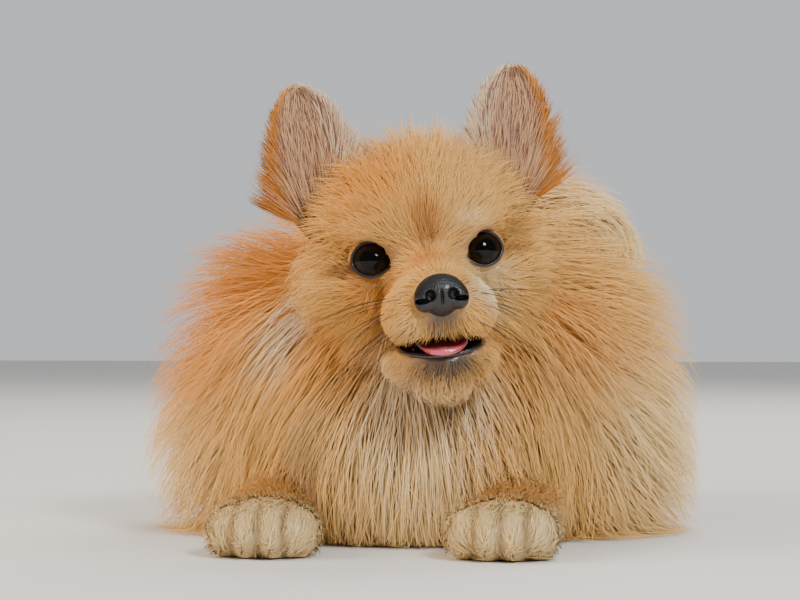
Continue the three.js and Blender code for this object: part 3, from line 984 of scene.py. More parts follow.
class Coat:
    """Grows strands from roots along a lie, at rising shares of the coat's depth."""

    # What stays bare round the openings, and how far hair stays off the floor
    MOUTH_BARE = 1.3
    SOCKET_BARE = 0.8
    FLOOR_GAP = 0.9
    LID_CLEAR = 7.5

    # How a strand leaves the skin, rises and waves
    ROOT_SINK = 0.6
    RISE_POWER = 0.62
    LEAST_GAP = 0.5
    TIP_GAP = 0.8
    WAVE_SIZE = 0.16
    WAVE_WIDTHS = (46, 52, 40)

    # Sides of the dog beyond which the ruff is pressed in softly
    SIDE_SOFT = 106.0
    SIDE_PRESS = 0.5

    # How strands draw together: mixing numbers of the cells, power, spread and reach
    CELL_MIX = (73856093, 19349663, 83492791)
    PULL_POWER = 1.3
    PULL_SPREAD = (0.35, 1.1)
    PULL_REACH = 0.8
    PULL_LEAST = 4.0

    # Section of a strand: its sides, spread of widths, taper, flatness and soft normals
    SIDES = 3
    WIDTH_SPREAD = (0.75, 1.2)
    TAPER = 0.75
    TAPER_POWER = 1.6
    FLATNESS = 0.7
    SOFT_NORMAL = 0.65
    ROUND_NORMAL = 0.6
    BAKE_PATCH = 0.003

    def __init__(self, skin: Skin, points: Points, faces: list[Points]) -> None:
        """Cuts the skin into triangles to sample roots on.

        Args:
            skin: The skin.
            points: Points of its surface.
            faces: Corner numbers of its faces.
        """
        self.skin = skin
        self.random = np.random.default_rng(SEED)
        corners = [(face[0], face[i], face[i + 1]) for face in faces for i in range(1, len(face) - 1)]
        self.triangles = points[np.array(corners)]
        first, second, third = np.moveaxis(self.triangles, 1, 0)
        normals = np.cross(second - first, third - first)
        self.areas = np.linalg.norm(normals, axis=1) / 2
        self.normals = unit(normals)
        self.middle = self.triangles.mean(axis=1)
        self.owner = skin.nearest(self.middle)
        self.bare = (MOUTH.distance(self.middle) < self.MOUTH_BARE) | (self.middle[:, 2] < self.FLOOR_GAP)
        for socket in SOCKETS.values():
            self.bare |= socket.distance(self.middle) < self.SOCKET_BARE

    def roots(self, part: str, count: int, density: Callable[[Points], Points]) -> Roots:
        """Scatters roots over a part.

        Args:
            part: Name of the part.
            count: How many roots.
            density: Relative density at points, 0 where none grow.

        Returns:
            The roots.
        """
        number = list(self.skin.parts).index(part)
        chosen = np.flatnonzero((self.owner == number) & ~self.bare)
        weight = self.areas[chosen] * np.maximum(density(self.middle[chosen]), 0)
        picks = chosen[self.random.choice(len(chosen), count, p=weight / weight.sum())]
        a, b = self.random.random((2, count))
        over = a + b > 1
        a, b = np.where(over, 1 - a, a), np.where(over, 1 - b, b)
        first, second, third = np.moveaxis(self.triangles[picks], 1, 0)
        points = first + a[:, None] * (second - first) + b[:, None] * (third - first)
        return Roots(points, self.normals[picks])

    def grow(self, fur: Fur, flesh: Flesh, roots: Roots, lie: Callable[[Points], Points],
             scale: Callable[[Points], Points] | None = None) -> Points:
        """Grows the middle line of each strand.

        Args:
            fur: How the strands grow.
            flesh: Flesh whose coat they follow.
            roots: Where they start.
            lie: Direction of the coat at points.
            scale: Length at points, as a share of the fur's.

        Returns:
            Points, strands by rings and tip by 3.
        """
        count = len(roots.points)
        length = self.random.uniform(*fur.length, count)
        if scale is not None:
            length = length * scale(roots.points)
        reach = self.random.uniform(*fur.reach, count)
        points = roots.points - self.ROOT_SINK * roots.outward
        path = [points]
        stray = self.random.normal(0, fur.loose, (count, 3))
        for step in range(1, fur.rings + 1):
            part = step / fur.rings
            way = unit(lie(points)) + stray + self.wave(points)
            way[:, 2] -= fur.droop * part
            outward = unit(flesh.outward(points)[1])
            way -= outward * (way * outward).sum(axis=1, keepdims=True)
            moved = points + unit(way) * (length / fur.rings)[:, None]
            moved, _ = flesh.settle(moved, reach * part ** self.RISE_POWER)
            points = self.clear(moved, self.LEAST_GAP + self.TIP_GAP * part)
            path.append(points)
        return np.stack(path, axis=1)

    @classmethod
    def off_eyes(cls, paths: Points) -> Points:
        """Finds the strands that stay clear of the nose and the opening of the lids.

        Args:
            paths: Middle lines of the strands.

        Returns:
            Whether each strand is clear.
        """
        local = to_head(paths)
        clear = ~(NOSE_ROOM.distance(local) < 0).any(axis=1)
        for side in Side:
            rel = local - eye_centre(side)
            ahead = rel @ eye_axis(side)
            aside = np.linalg.norm(rel - ahead[..., None] * eye_axis(side), axis=-1)
            clear &= ~((aside < cls.LID_CLEAR) & (ahead > 0)).any(axis=1)
        return clear

    @classmethod
    def wave(cls, points: Points) -> Points:
        """Slow sideways waves in the lie."""
        waves = [smudges(points, wide, seed) for seed, wide in enumerate(cls.WAVE_WIDTHS, 1)]
        return cls.WAVE_SIZE * np.stack(waves, axis=-1)

    def clear(self, points: Points, gap: float) -> Points:
        """Pushes points out of the flesh and off the floor, and in at the far sides.

        Args:
            points: Points of strands.
            gap: How far they stay outside the flesh.

        Returns:
            The moved points.
        """
        distance = self.skin.distance(points)
        sunk = np.flatnonzero(distance < gap)
        if len(sunk):
            near = points[sunk]
            step = Flesh.SLOPE_STEP
            slopes = [(self.skin.distance(near + step * axis) - distance[sunk]) / step for axis in np.eye(3)]
            points = points.copy()
            points[sunk] = near + unit(np.stack(slopes, axis=-1)) * (gap - distance[sunk])[:, None]
        points[:, 2] = np.maximum(points[:, 2], self.FLOOR_GAP)
        past = np.maximum(np.abs(points[:, 0]) - self.SIDE_SOFT, 0)
        points[:, 0] -= np.sign(points[:, 0]) * past * self.SIDE_PRESS
        return points

    def gather(self, fur: Fur, paths: Points) -> Points:
        """Draws strands together into clumps, more so at their tips.

        Args:
            fur: How the strands grow.
            paths: Their middle lines.

        Returns:
            The gathered middle lines.
        """
        cells = np.floor(paths[:, 0] / fur.cell + self.random.random(3)).astype(np.int64)
        _, group = np.unique((cells * np.array(self.CELL_MIX)).sum(axis=1), return_inverse=True)
        group = group.ravel()
        guide = np.zeros(group.max() + 1, dtype=int)
        guide[group[::-1]] = np.arange(len(group))[::-1]
        part = np.linspace(0, 1, paths.shape[1])
        spread = self.random.uniform(*self.PULL_SPREAD, len(paths))[:, None]
        pull = fur.clump * part ** self.PULL_POWER * spread
        aim = paths[guide[group]]
        reach = np.linalg.norm(aim[:, -1] - aim[:, 0], axis=1)
        away = np.linalg.norm(paths[:, -1] - aim[:, -1], axis=1)
        pull = pull * (away < self.PULL_REACH * reach + self.PULL_LEAST)[:, None]
        return paths + (aim - paths) * pull[:, :, None]

    def strands(self, fur: Fur, paths: Points, outward: Points, colours: Points,
                unwrap: Points) -> bpy.types.Object:
        """Turns middle lines into closed, tapered strands of three sides.

        Args:
            fur: How the strands look.
            paths: Middle lines, strands by rings and tip by 3.
            outward: Outward direction of the skin at each root.
            colours: Marking at each root.
            unwrap: Place of each root on the unwrapped skin.

        Returns:
            The coat piece.
        """
        count, rings = len(paths), paths.shape[1] - 1
        along = unit(np.gradient(paths, axis=1))
        across = unit(np.cross(along, outward[:, None, :]) + 1e-6)
        over = np.cross(across, along)
        part = np.arange(rings) / rings
        widths = self.random.uniform(*self.WIDTH_SPREAD, count)[:, None]
        widths = fur.width * widths * (1 - self.TAPER * part ** self.TAPER_POWER)
        turns = np.linspace(0, 2 * math.pi, self.SIDES, endpoint=False)[:, None] + math.pi / 2
        spokes = across[:, :rings, None] * np.cos(turns)
        spokes = spokes + self.FLATNESS * over[:, :rings, None] * np.sin(turns)
        tube = paths[:, :rings, None] + widths[:, :, None, None] * spokes
        points = np.concatenate([tube.reshape(count, -1, 3), paths[:, -1:]], axis=1)
        soft = unit(outward[:, None, None] + self.ROUND_NORMAL * over[:, :rings, None])
        normals = (1 - self.SOFT_NORMAL) * unit(spokes) + self.SOFT_NORMAL * soft
        tips = unit(outward + over[:, -1])[:, None]
        normals = unit(np.concatenate([normals.reshape(count, -1, 3), tips], axis=1))
        per = rings * self.SIDES + 1
        corners = (np.arange(count)[:, None, None] * per + self.pattern(rings)[None]).reshape(-1, 3)
        shares = np.append(np.repeat(part, self.SIDES), 1.0)
        strand = np.zeros((count, per, 3))
        strand[:, :, 0] = shares
        strand[:, :, 1] = self.random.random(count)[:, None]
        offsets = np.append(np.tile(np.linspace(-0.5, 0.5, self.SIDES), rings), 0.0)
        places = unwrap[:, None, :] + self.BAKE_PATCH * np.stack([offsets, shares - 0.5], axis=-1)
        piece = Meshes.triangles(fur.name, points.reshape(-1, 3), corners)
        Meshes.mark(piece, np.repeat(colours, per, axis=0))
        Meshes.store(piece, STRAND, Stored.VECTOR, strand)
        layer = piece.data.uv_layers.new(name=BAKE_MAP)
        flat = np.clip(places.reshape(-1, 2), 0.001, 0.999)[corners.ravel()]
        layer.data.foreach_set("uv", flat.astype(np.float32).ravel())
        piece.data.normals_split_custom_set_from_vertices(normals.reshape(-1, 3).tolist())
        return piece

    @classmethod
    def pattern(cls, rings: int) -> Points:
        """Joins the points of one strand by triangles that face outwards.

        Args:
            rings: Rings of the strand below its tip.

        Returns:
            Corner numbers of each triangle.
        """
        sides = cls.SIDES
        faces = [(0, 1, 2)]
        for a, b, c, d in Sheet.quads(rings, sides, round_columns=True):
            faces.append((a, c, b))
            faces.append((a, d, c))
        last = (rings - 1) * sides
        faces += [(last + a, rings * sides, last + (a + 1) % sides) for a in range(sides)]
        return np.array(faces)


UNWRAP_EDGE = 0.01


def unwrap_round(points: Points, centre: Sequence[float], axis: int) -> Points:
    """Unwraps points by their bearing and height round a centre.

    Args:
        points: Points on the skin.
        centre: Middle of the unwrap.
        axis: Number of the axis that it turns about.

    Returns:
        Places from 0 to 1.
    """
    rel = unit(points - np.array(centre))
    first, second = [i for i in range(3) if i != axis]
    bearing = np.arctan2(rel[:, first], rel[:, second]) / (2 * math.pi) + 0.5
    height = np.arccos(np.clip(rel[:, axis], -1, 1)) / math.pi
    return UNWRAP_EDGE + (1 - 2 * UNWRAP_EDGE) * np.stack([bearing, height], axis=-1)


def ways(x: Points | float, y: Points | float, z: Points | float) -> Points:
    """Stacks three components, some of them the same everywhere, into directions."""
    return np.stack(np.broadcast_arrays(x, y, z), axis=-1)


def ruff_lie(points: Points) -> Points:
    """Lays the ruff out and back from the face, and down over the chest.

    Args:
        points: Points of the coat.

    Returns:
        Directions, not of length one.
    """
    front = ramp(-points[:, 1], 20, 75)
    side = np.clip(points[:, 0] / 45, -1, 1)
    top = ramp(points[:, 2], 95, 140)
    back = 0.75 * (1 - front) + 0.5 * top
    return ways(side * (0.75 - 0.35 * front), back, -0.55 - 0.45 * front + 0.5 * top)


def back_lie(points: Points) -> Points:
    """Lie of the trunk's coat: back, and down the flanks."""
    return ways(points[:, 0] / 130, 0.9, np.where(points[:, 2] > 60, -0.15, -0.5))


def thigh_lie(points: Points) -> Points:
    """Lie of the hind legs' coat: down and back."""
    return ways(points[:, 0] / 300, 0.5, -0.8)


def plume_lie(points: Points) -> Points:
    """Lie of the tail's plume, which falls to the dog's left."""
    return ways(0.55 + (points[:, 0] - 30) / 90, -0.45, -0.55 + (points[:, 2] - 110) / 60)


def away_lie(points: Points, middle: Points) -> Points:
    """Lie away from a point of the head's own frame."""
    return turn_from_head(unit(to_head(points) - middle))


def face_lie(points: Points) -> Points:
    """Lie of the face's hair: away from the nose."""
    return away_lie(points, NOSE_TIP + (0.0, 0.0, 2.0))


def jaw_lie(points: Points) -> Points:
    """Lie of the chin's hair: out and down from the lip."""
    return away_lie(points, np.array((0.0, -16.0, -27.0)))


def crown_lie(points: Points) -> Points:
    """Lays the hair of the crown and cheeks back from the face, and down the cheeks.

    Args:
        points: Points of the coat.

    Returns:
        Directions, not of length one.
    """
    local = to_head(points)
    rise = np.where(local[:, 2] > 10, 0.35 * local[:, 2], -14)
    return turn_from_head(ways(0.9 * local[:, 0], 18 + 0.5 * local[:, 1], rise))


def foreleg_lie(points: Points) -> Points:
    """Lie of the forelegs' hair: along to the paws."""
    return ways(0 * points[:, 0], -1.0, -0.35)


def one(points: Points) -> Points:
    """The same density everywhere."""
    return np.ones(len(points))


def face_density(points: Points) -> Points:
    """More roots on the muzzle and round the eyes than on the rest of the face."""
    local = to_head(points)
    return (1 - ramp(local[:, 1], 8, 20)) * (1 + 1.2 * ramp(-local[:, 1], 0, 18))


def crown_density(points: Points) -> Points:
    """Roots behind the face."""
    return ramp(to_head(points)[:, 1], 0, 12)


def face_length(points: Points) -> Points:
    """Shortens the face's hair, most by the nose and the eyes.

    Args:
        points: Roots of the hair.

    Returns:
        Share of the full length.
    """
    local = to_head(points)
    by_nose = ramp(np.linalg.norm(local - NOSE_PLACE, axis=1), 7, 34)
    eyes = np.minimum(*[np.linalg.norm(local - eye_centre(side), axis=1) for side in Side])
    return (0.7 + 0.7 * by_nose) * (0.3 + 0.7 * ramp(eyes, 10, 17))


def crown_length(points: Points) -> Points:
    """Hair that grows longer away from the face."""
    return 0.42 + 0.58 * ramp(to_head(points)[:, 1], 0, 30)


@dataclass(frozen=True)
class Growth:
    """One coat piece: its fur, its part, and how it lies, spreads and is coloured."""

    fur: Fur
    part: str
    lie: Callable[[Points], Points]
    marking: Callable[[Points], Points]
    centre: Triple
    axis: int = 1
    density: Callable[[Points], Points] = one
    scale: Callable[[Points], Points] | None = None


PARTS = {
    "head": HEAD, "jaw": JAW, "neck": NECK, "trunk": TRUNK, "tail": TAIL,
    "foreleg_left": FORELEGS[Side.LEFT], "foreleg_right": FORELEGS[Side.RIGHT],
    "hindleg_left": HINDLEGS[Side.LEFT], "hindleg_right": HINDLEGS[Side.RIGHT],
}
PART_MARKINGS = {
    "head": head_marking, "jaw": head_marking, "tail": plume_marking,
    "foreleg_left": paw_marking, "foreleg_right": paw_marking,
}
FLESH_NODES = (
    "head", "lower_jaw", "neck", "torso", "tail", "foreleg_left", "foreleg_right",
    "hindleg_left", "hindleg_right", "ear_left", "ear_right",
)

FACE_CENTRE = (10.0, -80.0, 100.0)
RUFF_CENTRE = (0.0, -24.0, 50.0)
RUFF = ("neck", ruff_lie, body_marking, RUFF_CENTRE)
THIGH = (3200, 3, 0.42, (22, 34), (0.45, 1.0), 0.55, 6, Slot.ORANGE)
FORELEG = (5200, 2, 0.17, (5, 9), (0.5, 1.3), 0.4, 3, Slot.CREAM)
GROWTHS = (
    Growth(Fur("ruff_under", 8600, 4, 0.34, (34, 54), (0.35, 0.75), 0.45, 7, Slot.CREAM, 0.16), *RUFF),
    Growth(Fur("ruff_middle", 8900, 4, 0.27, (44, 66), (0.7, 0.98), 0.5, 8, Slot.CREAM, 0.16), *RUFF),
    Growth(Fur("ruff_outer", 8900, 4, 0.23, (50, 76), (0.86, 1.06), 0.52, 7, Slot.CREAM, 0.18, 0.12), *RUFF),
    Growth(Fur("back_coat", 7000, 4, 0.4, (30, 46), (0.5, 1.0), 0.6, 7, Slot.ORANGE),
           "trunk", back_lie, body_marking, (0, 60, 48)),
    Growth(Fur("tail_plume", 5400, 4, 0.34, (34, 54), (0.5, 1.02), 0.6, 6, Slot.ORANGE, 0.14, 0.2),
           "tail", plume_lie, plume_marking, (20, 104, 116), 0),
    Growth(Fur("thigh_left_coat", *THIGH), "hindleg_left", thigh_lie, body_marking, (50, 80, 30)),
    Growth(Fur("thigh_right_coat", *THIGH), "hindleg_right", thigh_lie, body_marking, (-50, 80, 30)),
    Growth(Fur("crown_coat", 12000, 3, 0.19, (22, 36), (0.5, 1.1), 0.5, 5, Slot.ORANGE, 0.16),
           "head", crown_lie, head_marking, FACE_CENTRE, 1, crown_density, crown_length),
    Growth(Fur("face_coat", 17500, 2, 0.13, (6, 10), (0.9, 2.5), 0.4, 2.6, Slot.ORANGE, 0.2),
           "head", face_lie, head_marking, FACE_CENTRE, 1, face_density, face_length),
    Growth(Fur("chin_coat", 3000, 2, 0.14, (5, 10), (0.6, 1.6), 0.4, 2.6, Slot.CREAM, 0.16),
           "jaw", jaw_lie, head_marking, FACE_CENTRE),
    Growth(Fur("foreleg_left_coat", *FORELEG), "foreleg_left", foreleg_lie, paw_marking, (45, -80, 12)),
    Growth(Fur("foreleg_right_coat", *FORELEG), "foreleg_right", foreleg_lie, paw_marking, (-45, -80, 12)),
)


class Graph:
    """Shorthand for building a node tree."""

    def __init__(self, tree: bpy.types.NodeTree) -> None:
        """Keeps the tree to build in."""
        self.tree = tree

    def feed(self, node: bpy.types.Node, values: dict) -> None:
        """Links or sets inputs of a node.

        Args:
            node: The node.
            values: Sockets to link or values to set, by input name or number.
        """
        for key, value in values.items():
            if isinstance(value, bpy.types.NodeSocket):
                self.tree.links.new(value, node.inputs[key])
            else:
                node.inputs[key].default_value = value

    def add(self, kind: str, values: dict | None = None, **settings) -> bpy.types.Node:
        """Adds a node, feeds its inputs and applies its settings.

        Args:
            kind: Type of the node.
            values: Sockets to link or values to set, by input name or number.
            settings: Properties of the node.

        Returns:
            The node.
        """
        node = self.tree.nodes.new(kind)
        for key, value in settings.items():
            setattr(node, key, value)
        self.feed(node, values or {})
        return node

    def mix(self, share: object, first: object, second: object, blend: str = "MIX") -> bpy.types.NodeSocket:
        """Mixes two colours."""
        values = {0: share, 6: first, 7: second}
        return self.add("ShaderNodeMix", values, data_type="RGBA", blend_type=blend).outputs[2]

    def math(self, operation: str, first: object, second: object = 0.0) -> bpy.types.NodeSocket:
        """Computes with one or two values."""
        return self.add("ShaderNodeMath", {0: first, 1: second}, operation=operation).outputs[0]

    def step(self, value: object, low: float, high: float) -> bpy.types.NodeSocket:
        """Rises from 0 at low to 1 at high."""
        return self.add("ShaderNodeMapRange", {"Value": value, "From Min": low, "From Max": high}).outputs[0]

    def stored(self, name: str, output: str) -> bpy.types.NodeSocket:
        """Reads what a mesh stores under a name, in a shader."""
        return self.add("ShaderNodeAttribute", attribute_name=name).outputs[output]

    def named(self, name: str, kind: str) -> bpy.types.NodeSocket:
        """Reads what points store under a name, in Geometry Nodes."""
        return self.add("GeometryNodeInputNamedAttribute", {"Name": name}, data_type=kind).outputs[0]


class NodeGroups:
    """The shader node groups that the finishes share."""

    # Painted shade darkens the roots towards the first colour; the tips lighten towards the second
    ROOT_SHADE_COLOUR = (0.3, 0.13, 0.045, 1)
    TIP_COLOUR = (1.0, 0.8, 0.5, 1)
    ROOT_REACH = 0.55
    LEAST_BRIGHT = 0.84
    BRIGHT_SPREAD = 0.26
    LEAST_ROUGH = 0.5
    ROUGH_SPREAD = 0.14
    MOTTLE_DARK = (0.03, 0.02, 0.015, 1)
    MOTTLE_DETAIL = 3.0

    def __init__(self) -> None:
        """Builds the groups."""
        self.hair = self.hair_group()
        self.mottle = self.mottle_group()

    @staticmethod
    def group(name: str, inputs: dict[str, object], outputs: Sequence[str]) -> tuple:
        """Makes a node group with named sockets.

        Args:
            name: Name of the group.
            inputs: Default of each input, which is a colour or a number.
            outputs: Name of each output, of which the first is a colour.

        Returns:
            Its graph, the sockets that come in and the node that they go out by.
        """
        tree = bpy.data.node_groups.new(name, "ShaderNodeTree")
        for label, default in inputs.items():
            kind = "NodeSocketColor" if isinstance(default, tuple) else "NodeSocketFloat"
            socket = tree.interface.new_socket(label, in_out="INPUT", socket_type=kind)
            socket.default_value = default
        for label, kind in zip(outputs, ("NodeSocketColor", "NodeSocketFloat")):
            tree.interface.new_socket(label, in_out="OUTPUT", socket_type=kind)
        graph = Graph(tree)
        return graph, graph.add("NodeGroupInput").outputs, graph.add("NodeGroupOutput")

    def hair_group(self) -> bpy.types.NodeTree:
        """Builds the colour and roughness along a strand of hair, with painted shade towards its root.

        Returns:
            The group.
        """
        inputs = {"Marking": (0.6, 0.4, 0.2, 1), "Along": 0.5, "Chance": 0.5, "Root Shade": 0.4,
                  "Tip Light": 0.25}
        graph, source, sink = self.group("Hair Shade", inputs, ("Colour", "Roughness"))
        # Painted shade: the roots darken as if shaded by the coat over them
        rooted = graph.math("SUBTRACT", 1.0, graph.step(source["Along"], 0.0, self.ROOT_REACH))
        shade = graph.math("MULTIPLY", rooted, source["Root Shade"])
        dark = graph.mix(shade, source["Marking"], self.ROOT_SHADE_COLOUR)
        tip = graph.math("MULTIPLY", graph.math("POWER", source["Along"], 2.0), source["Tip Light"])
        light = graph.mix(tip, dark, self.TIP_COLOUR)
        bright = graph.math("MULTIPLY", source["Chance"], self.BRIGHT_SPREAD)
        bright = graph.math("ADD", bright, self.LEAST_BRIGHT)
        grey = graph.add("ShaderNodeCombineColor", {0: bright, 1: bright, 2: bright}).outputs[0]
        rough = graph.math("MULTIPLY", source["Chance"], self.ROUGH_SPREAD)
        graph.feed(sink, {
            "Colour": graph.mix(1.0, light, grey, "MULTIPLY"),
            "Roughness": graph.math("ADD", rough, self.LEAST_ROUGH),
        })
        return graph.tree

    def mottle_group(self) -> bpy.types.NodeTree:
        """Builds the uneven colour and fine relief of skin.

        Returns:
            The group.
        """
        inputs = {"Colour": (0.5, 0.3, 0.2, 1), "Scale": 400.0, "Strength": 0.25}
        graph, source, sink = self.group("Skin Mottle", inputs, ("Colour", "Height"))
        place = {"Vector": graph.add("ShaderNodeTexCoord").outputs["Object"], "Scale": source["Scale"]}
        noise = graph.add("ShaderNodeTexNoise", {**place, "Detail": self.MOTTLE_DETAIL}).outputs[0]
        cells = graph.add("ShaderNodeTexVoronoi", place).outputs["Distance"]
        uneven = graph.math("MULTIPLY", noise, source["Strength"])
        graph.feed(sink, {
            "Colour": graph.mix(uneven, source["Colour"], self.MOTTLE_DARK),
            "Height": graph.math("ADD", cells, noise),
        })
        return graph.tree


def principled(name: str) -> tuple[bpy.types.Material, Graph, bpy.types.Node]:
    """Makes a material with a Principled shader.

    Args:
        name: Name of the material.

    Returns:
        The material, its graph and the shader.
    """
    material = bpy.data.materials.new(name)
    material.use_nodes = True
    return material, Graph(material.node_tree), material.node_tree.nodes["Principled BSDF"]


@dataclass(frozen=True)
class HairFinish:
    """Finish of a coat piece, with the painted shade of its roots and the light of its tips."""

    name: str
    root_shade: float
    tip_light: float
    gloss: float = 0.1

    def make(self, groups: NodeGroups) -> bpy.types.Material:
        """Makes the material.

        Args:
            groups: The shared node groups.

        Returns:
            The material.
        """
        material, graph, shader = principled(self.name)
        split = graph.add("ShaderNodeSeparateXYZ", {0: graph.stored(STRAND, "Vector")})
        hair = graph.add("ShaderNodeGroup", node_tree=groups.hair)
        graph.feed(hair, {
            "Marking": graph.stored(MARKING, "Color"),
            "Along": split.outputs[0],
            "Chance": split.outputs[1],
            "Root Shade": self.root_shade,
            "Tip Light": self.tip_light,
        })
        graph.feed(shader, {
            "Base Color": hair.outputs["Colour"],
            "Roughness": hair.outputs["Roughness"],
            "Specular IOR Level": self.gloss,
        })
        return material


@dataclass(frozen=True)
class MottledFinish:
    """Finish coloured by the marking, with mottling, a wet coat and a relief in metres."""

    name: str
    roughness: float
    wet: float
    scale: float
    strength: float
    relief: float
    wet_roughness: float = 0.08
    bump: float = 0.6

    def make(self, groups: NodeGroups) -> bpy.types.Material:
        """Makes the material.

        Args:
            groups: The shared node groups.

        Returns:
            The material.
        """
        material, graph, shader = principled(self.name)
        mottle = graph.add("ShaderNodeGroup", node_tree=groups.mottle)
        graph.feed(mottle, {
            "Colour": graph.stored(MARKING, "Color"),
            "Scale": self.scale,
            "Strength": self.strength,
        })
        relief = {"Strength": self.bump, "Distance": self.relief, "Height": mottle.outputs["Height"]}
        graph.feed(shader, {
            "Base Color": mottle.outputs["Colour"],
            "Normal": graph.add("ShaderNodeBump", relief).outputs["Normal"],
            "Roughness": self.roughness,
            "Coat Weight": self.wet,
            "Coat Roughness": self.wet_roughness,
        })
        return material


@dataclass(frozen=True)
class EyeFinish:
    """Finish of the eyes: a brown iris round a dark pupil, under a clear wet coat.

    The edges of the pupil and of the iris are in degrees from the eye's axis.
    """

    name: str = "eye_finish"
    pupil: tuple[float, float] = (24.0, 29.0)
    iris: tuple[float, float] = (38.0, 47.0)
    pupil_colour: Triple = (0.003, 0.003, 0.003)
    iris_colour: Triple = (0.014, 0.007, 0.004)
    white_colour: Triple = (0.008, 0.004, 0.003)

    def make(self) -> bpy.types.Material:
        """Makes the material.

        Returns:
            The material.
        """
        material, graph, shader = principled(self.name)
        gaze = graph.stored(GAZE, "Fac")
        inner = graph.mix(graph.step(gaze, *self.pupil), (*self.pupil_colour, 1), (*self.iris_colour, 1))
        graph.feed(shader, {
            "Base Color": graph.mix(graph.step(gaze, *self.iris), inner, (*self.white_colour, 1)),
            "Roughness": 0.08,
            "IOR": 1.33,
            "Specular IOR Level": 0.2,
            "Coat Weight": 0.15,
            "Coat Roughness": 0.01,
        })
        return material


@dataclass(frozen=True)
class EvenFinish:
    """Finish of one even colour."""

    name: str
    colour: Points
    roughness: float
    wet: float = 0.0

    def make(self) -> bpy.types.Material:
        """Makes the material.

        Returns:
            The material.
        """
        material, graph, shader = principled(self.name)
        graph.feed(shader, {
            "Base Color": (*self.colour, 1),
            "Roughness": self.roughness,
            "Coat Weight": self.wet,
        })
        return material


LONG_HAIR = HairFinish("long_hair", 0.4, 0.14)
SHORT_HAIR = HairFinish("short_hair", 0.25, 0.12)
SHORT_RINGS = 2
SKIN_FINISH = MottledFinish("skin_finish", 0.6, 0.1, 500, 0.35, 0.0004)
NOSE_FINISH = MottledFinish("nose_finish", 0.45, 0.15, 1500, 0.1, 0.0003)
TONGUE_FINISH = MottledFinish("tongue_finish", 0.38, 0.5, 1400, 0.12, 0.00012)
LIP_FINISH = MottledFinish("lip_finish", 0.3, 0.8, 900, 0.1, 0.0001)
WHISKER_FINISH = EvenFinish("whisker_finish", linear(52, 40, 34), 0.4)
LASH_FINISH = EvenFinish("lash_finish", linear(44, 32, 28), 0.5)
CLAW_FINISH = EvenFinish("claw_finish", linear(70, 58, 50), 0.35, 0.3)
FLOOR_FINISH = EvenFinish("floor_finish", linear(222, 218, 212), 0.7)


class ConeGrower:
    """Grows many thin cones on points, by one Geometry Nodes tree."""

    SIDES = 6
    SEGMENTS = 7
    TIP = 0.08
    SOCKETS = {"Radius": "NodeSocketFloat", "Droop": "NodeSocketFloat", "Finish": "NodeSocketMaterial"}

    def __init__(self) -> None:
        """Builds the tree."""
        tree = bpy.data.node_groups.new("Cone Grower", "GeometryNodeTree")
        self.tree = tree
        tree.interface.new_socket("Geometry", in_out="INPUT", socket_type="NodeSocketGeometry")
        for label, kind in self.SOCKETS.items():
            tree.interface.new_socket(label, in_out="INPUT", socket_type=kind)
        tree.interface.new_socket("Geometry", in_out="OUTPUT", socket_type="NodeSocketGeometry")
        graph = Graph(tree)
        source = graph.add("NodeGroupInput").outputs
        cone = graph.add("GeometryNodeMeshCone", {
            "Vertices": self.SIDES, "Side Segments": self.SEGMENTS, "Radius Top": self.TIP,
            "Radius Bottom": 1.0, "Depth": 1.0})
        place = graph.add("GeometryNodeInputPosition").outputs[0]
        height = graph.add("ShaderNodeSeparateXYZ", {0: place}).outputs[2]
        along = {"Geometry": cone.outputs["Mesh"], "Name": "along", "Value": height}
        marked = graph.add("GeometryNodeStoreNamedAttribute", along, data_type="FLOAT", domain="POINT")
        aim = graph.named("aim", "FLOAT_VECTOR")
        length = graph.named("length", "FLOAT")
        turn = graph.add("FunctionNodeAlignRotationToVector", {"Vector": aim}, axis="Z").outputs[0]
        scale = {0: source["Radius"], 1: source["Radius"], 2: length}
        size = graph.add("ShaderNodeCombineXYZ", scale).outputs[0]
        spread = graph.add("GeometryNodeInstanceOnPoints", {
            "Points": source["Geometry"], "Instance": marked.outputs[0], "Rotation": turn, "Scale": size})
        real = graph.add("GeometryNodeRealizeInstances", {"Geometry": spread.outputs[0]})
        bend = graph.math("POWER", graph.named("along", "FLOAT"), 2.0)
        fall = graph.math("MULTIPLY", bend, graph.math("MULTIPLY", source["Droop"], -1.0))
        offset = graph.add("ShaderNodeCombineXYZ", {2: fall}).outputs[0]
        bent = graph.add("GeometryNodeSetPosition", {"Geometry": real.outputs[0], "Offset": offset})
        done = graph.add("GeometryNodeSetMaterial", {
            "Geometry": bent.outputs[0], "Material": source["Finish"]})
        graph.feed(graph.add("NodeGroupOutput"), {0: done.outputs[0]})

    def grow(self, name: str, points: Points, aims: Points, lengths: Points, radius: float, droop: float,
             finish: EvenFinish) -> bpy.types.Object:
        """Grows cones on points.

        Args:
            name: Name of the piece.
            points: Roots in millimetres.
            aims: Directions.
            lengths: Lengths in millimetres.
            radius: Radius at the root in millimetres.
            droop: How far the tips fall, in millimetres.
            finish: Finish of the cones.

        Returns:
            The plain mesh piece.
        """
        material = finish.make()
        holder = Meshes.plain(f"{name}_points", points, [])
        Meshes.store(holder, "aim", Stored.VECTOR, unit(np.asarray(aims)))
        Meshes.store(holder, "length", Stored.NUMBER, np.asarray(lengths) * MM)
        modifier = holder.modifiers.new("Cones", "NODES")
        modifier.node_group = self.tree
        wanted = {"Radius": radius * MM, "Droop": droop * MM, "Finish": material}
        for item in self.tree.interface.items_tree:
            if item.in_out == "INPUT" and item.name in wanted:
                modifier[item.identifier] = wanted[item.name]
        shown = bpy.context.evaluated_depsgraph_get()
        holder.update_tag()
        shown.update()
        mesh = bpy.data.meshes.new_from_object(holder.evaluated_get(shown))
        mesh.name = name
        mesh.materials.clear()
        mesh.materials.append(material)
        mesh.polygons.foreach_set("material_index", np.zeros(len(mesh.polygons), dtype=np.int32))
        bpy.data.objects.remove(holder)
        return linked(name, mesh)


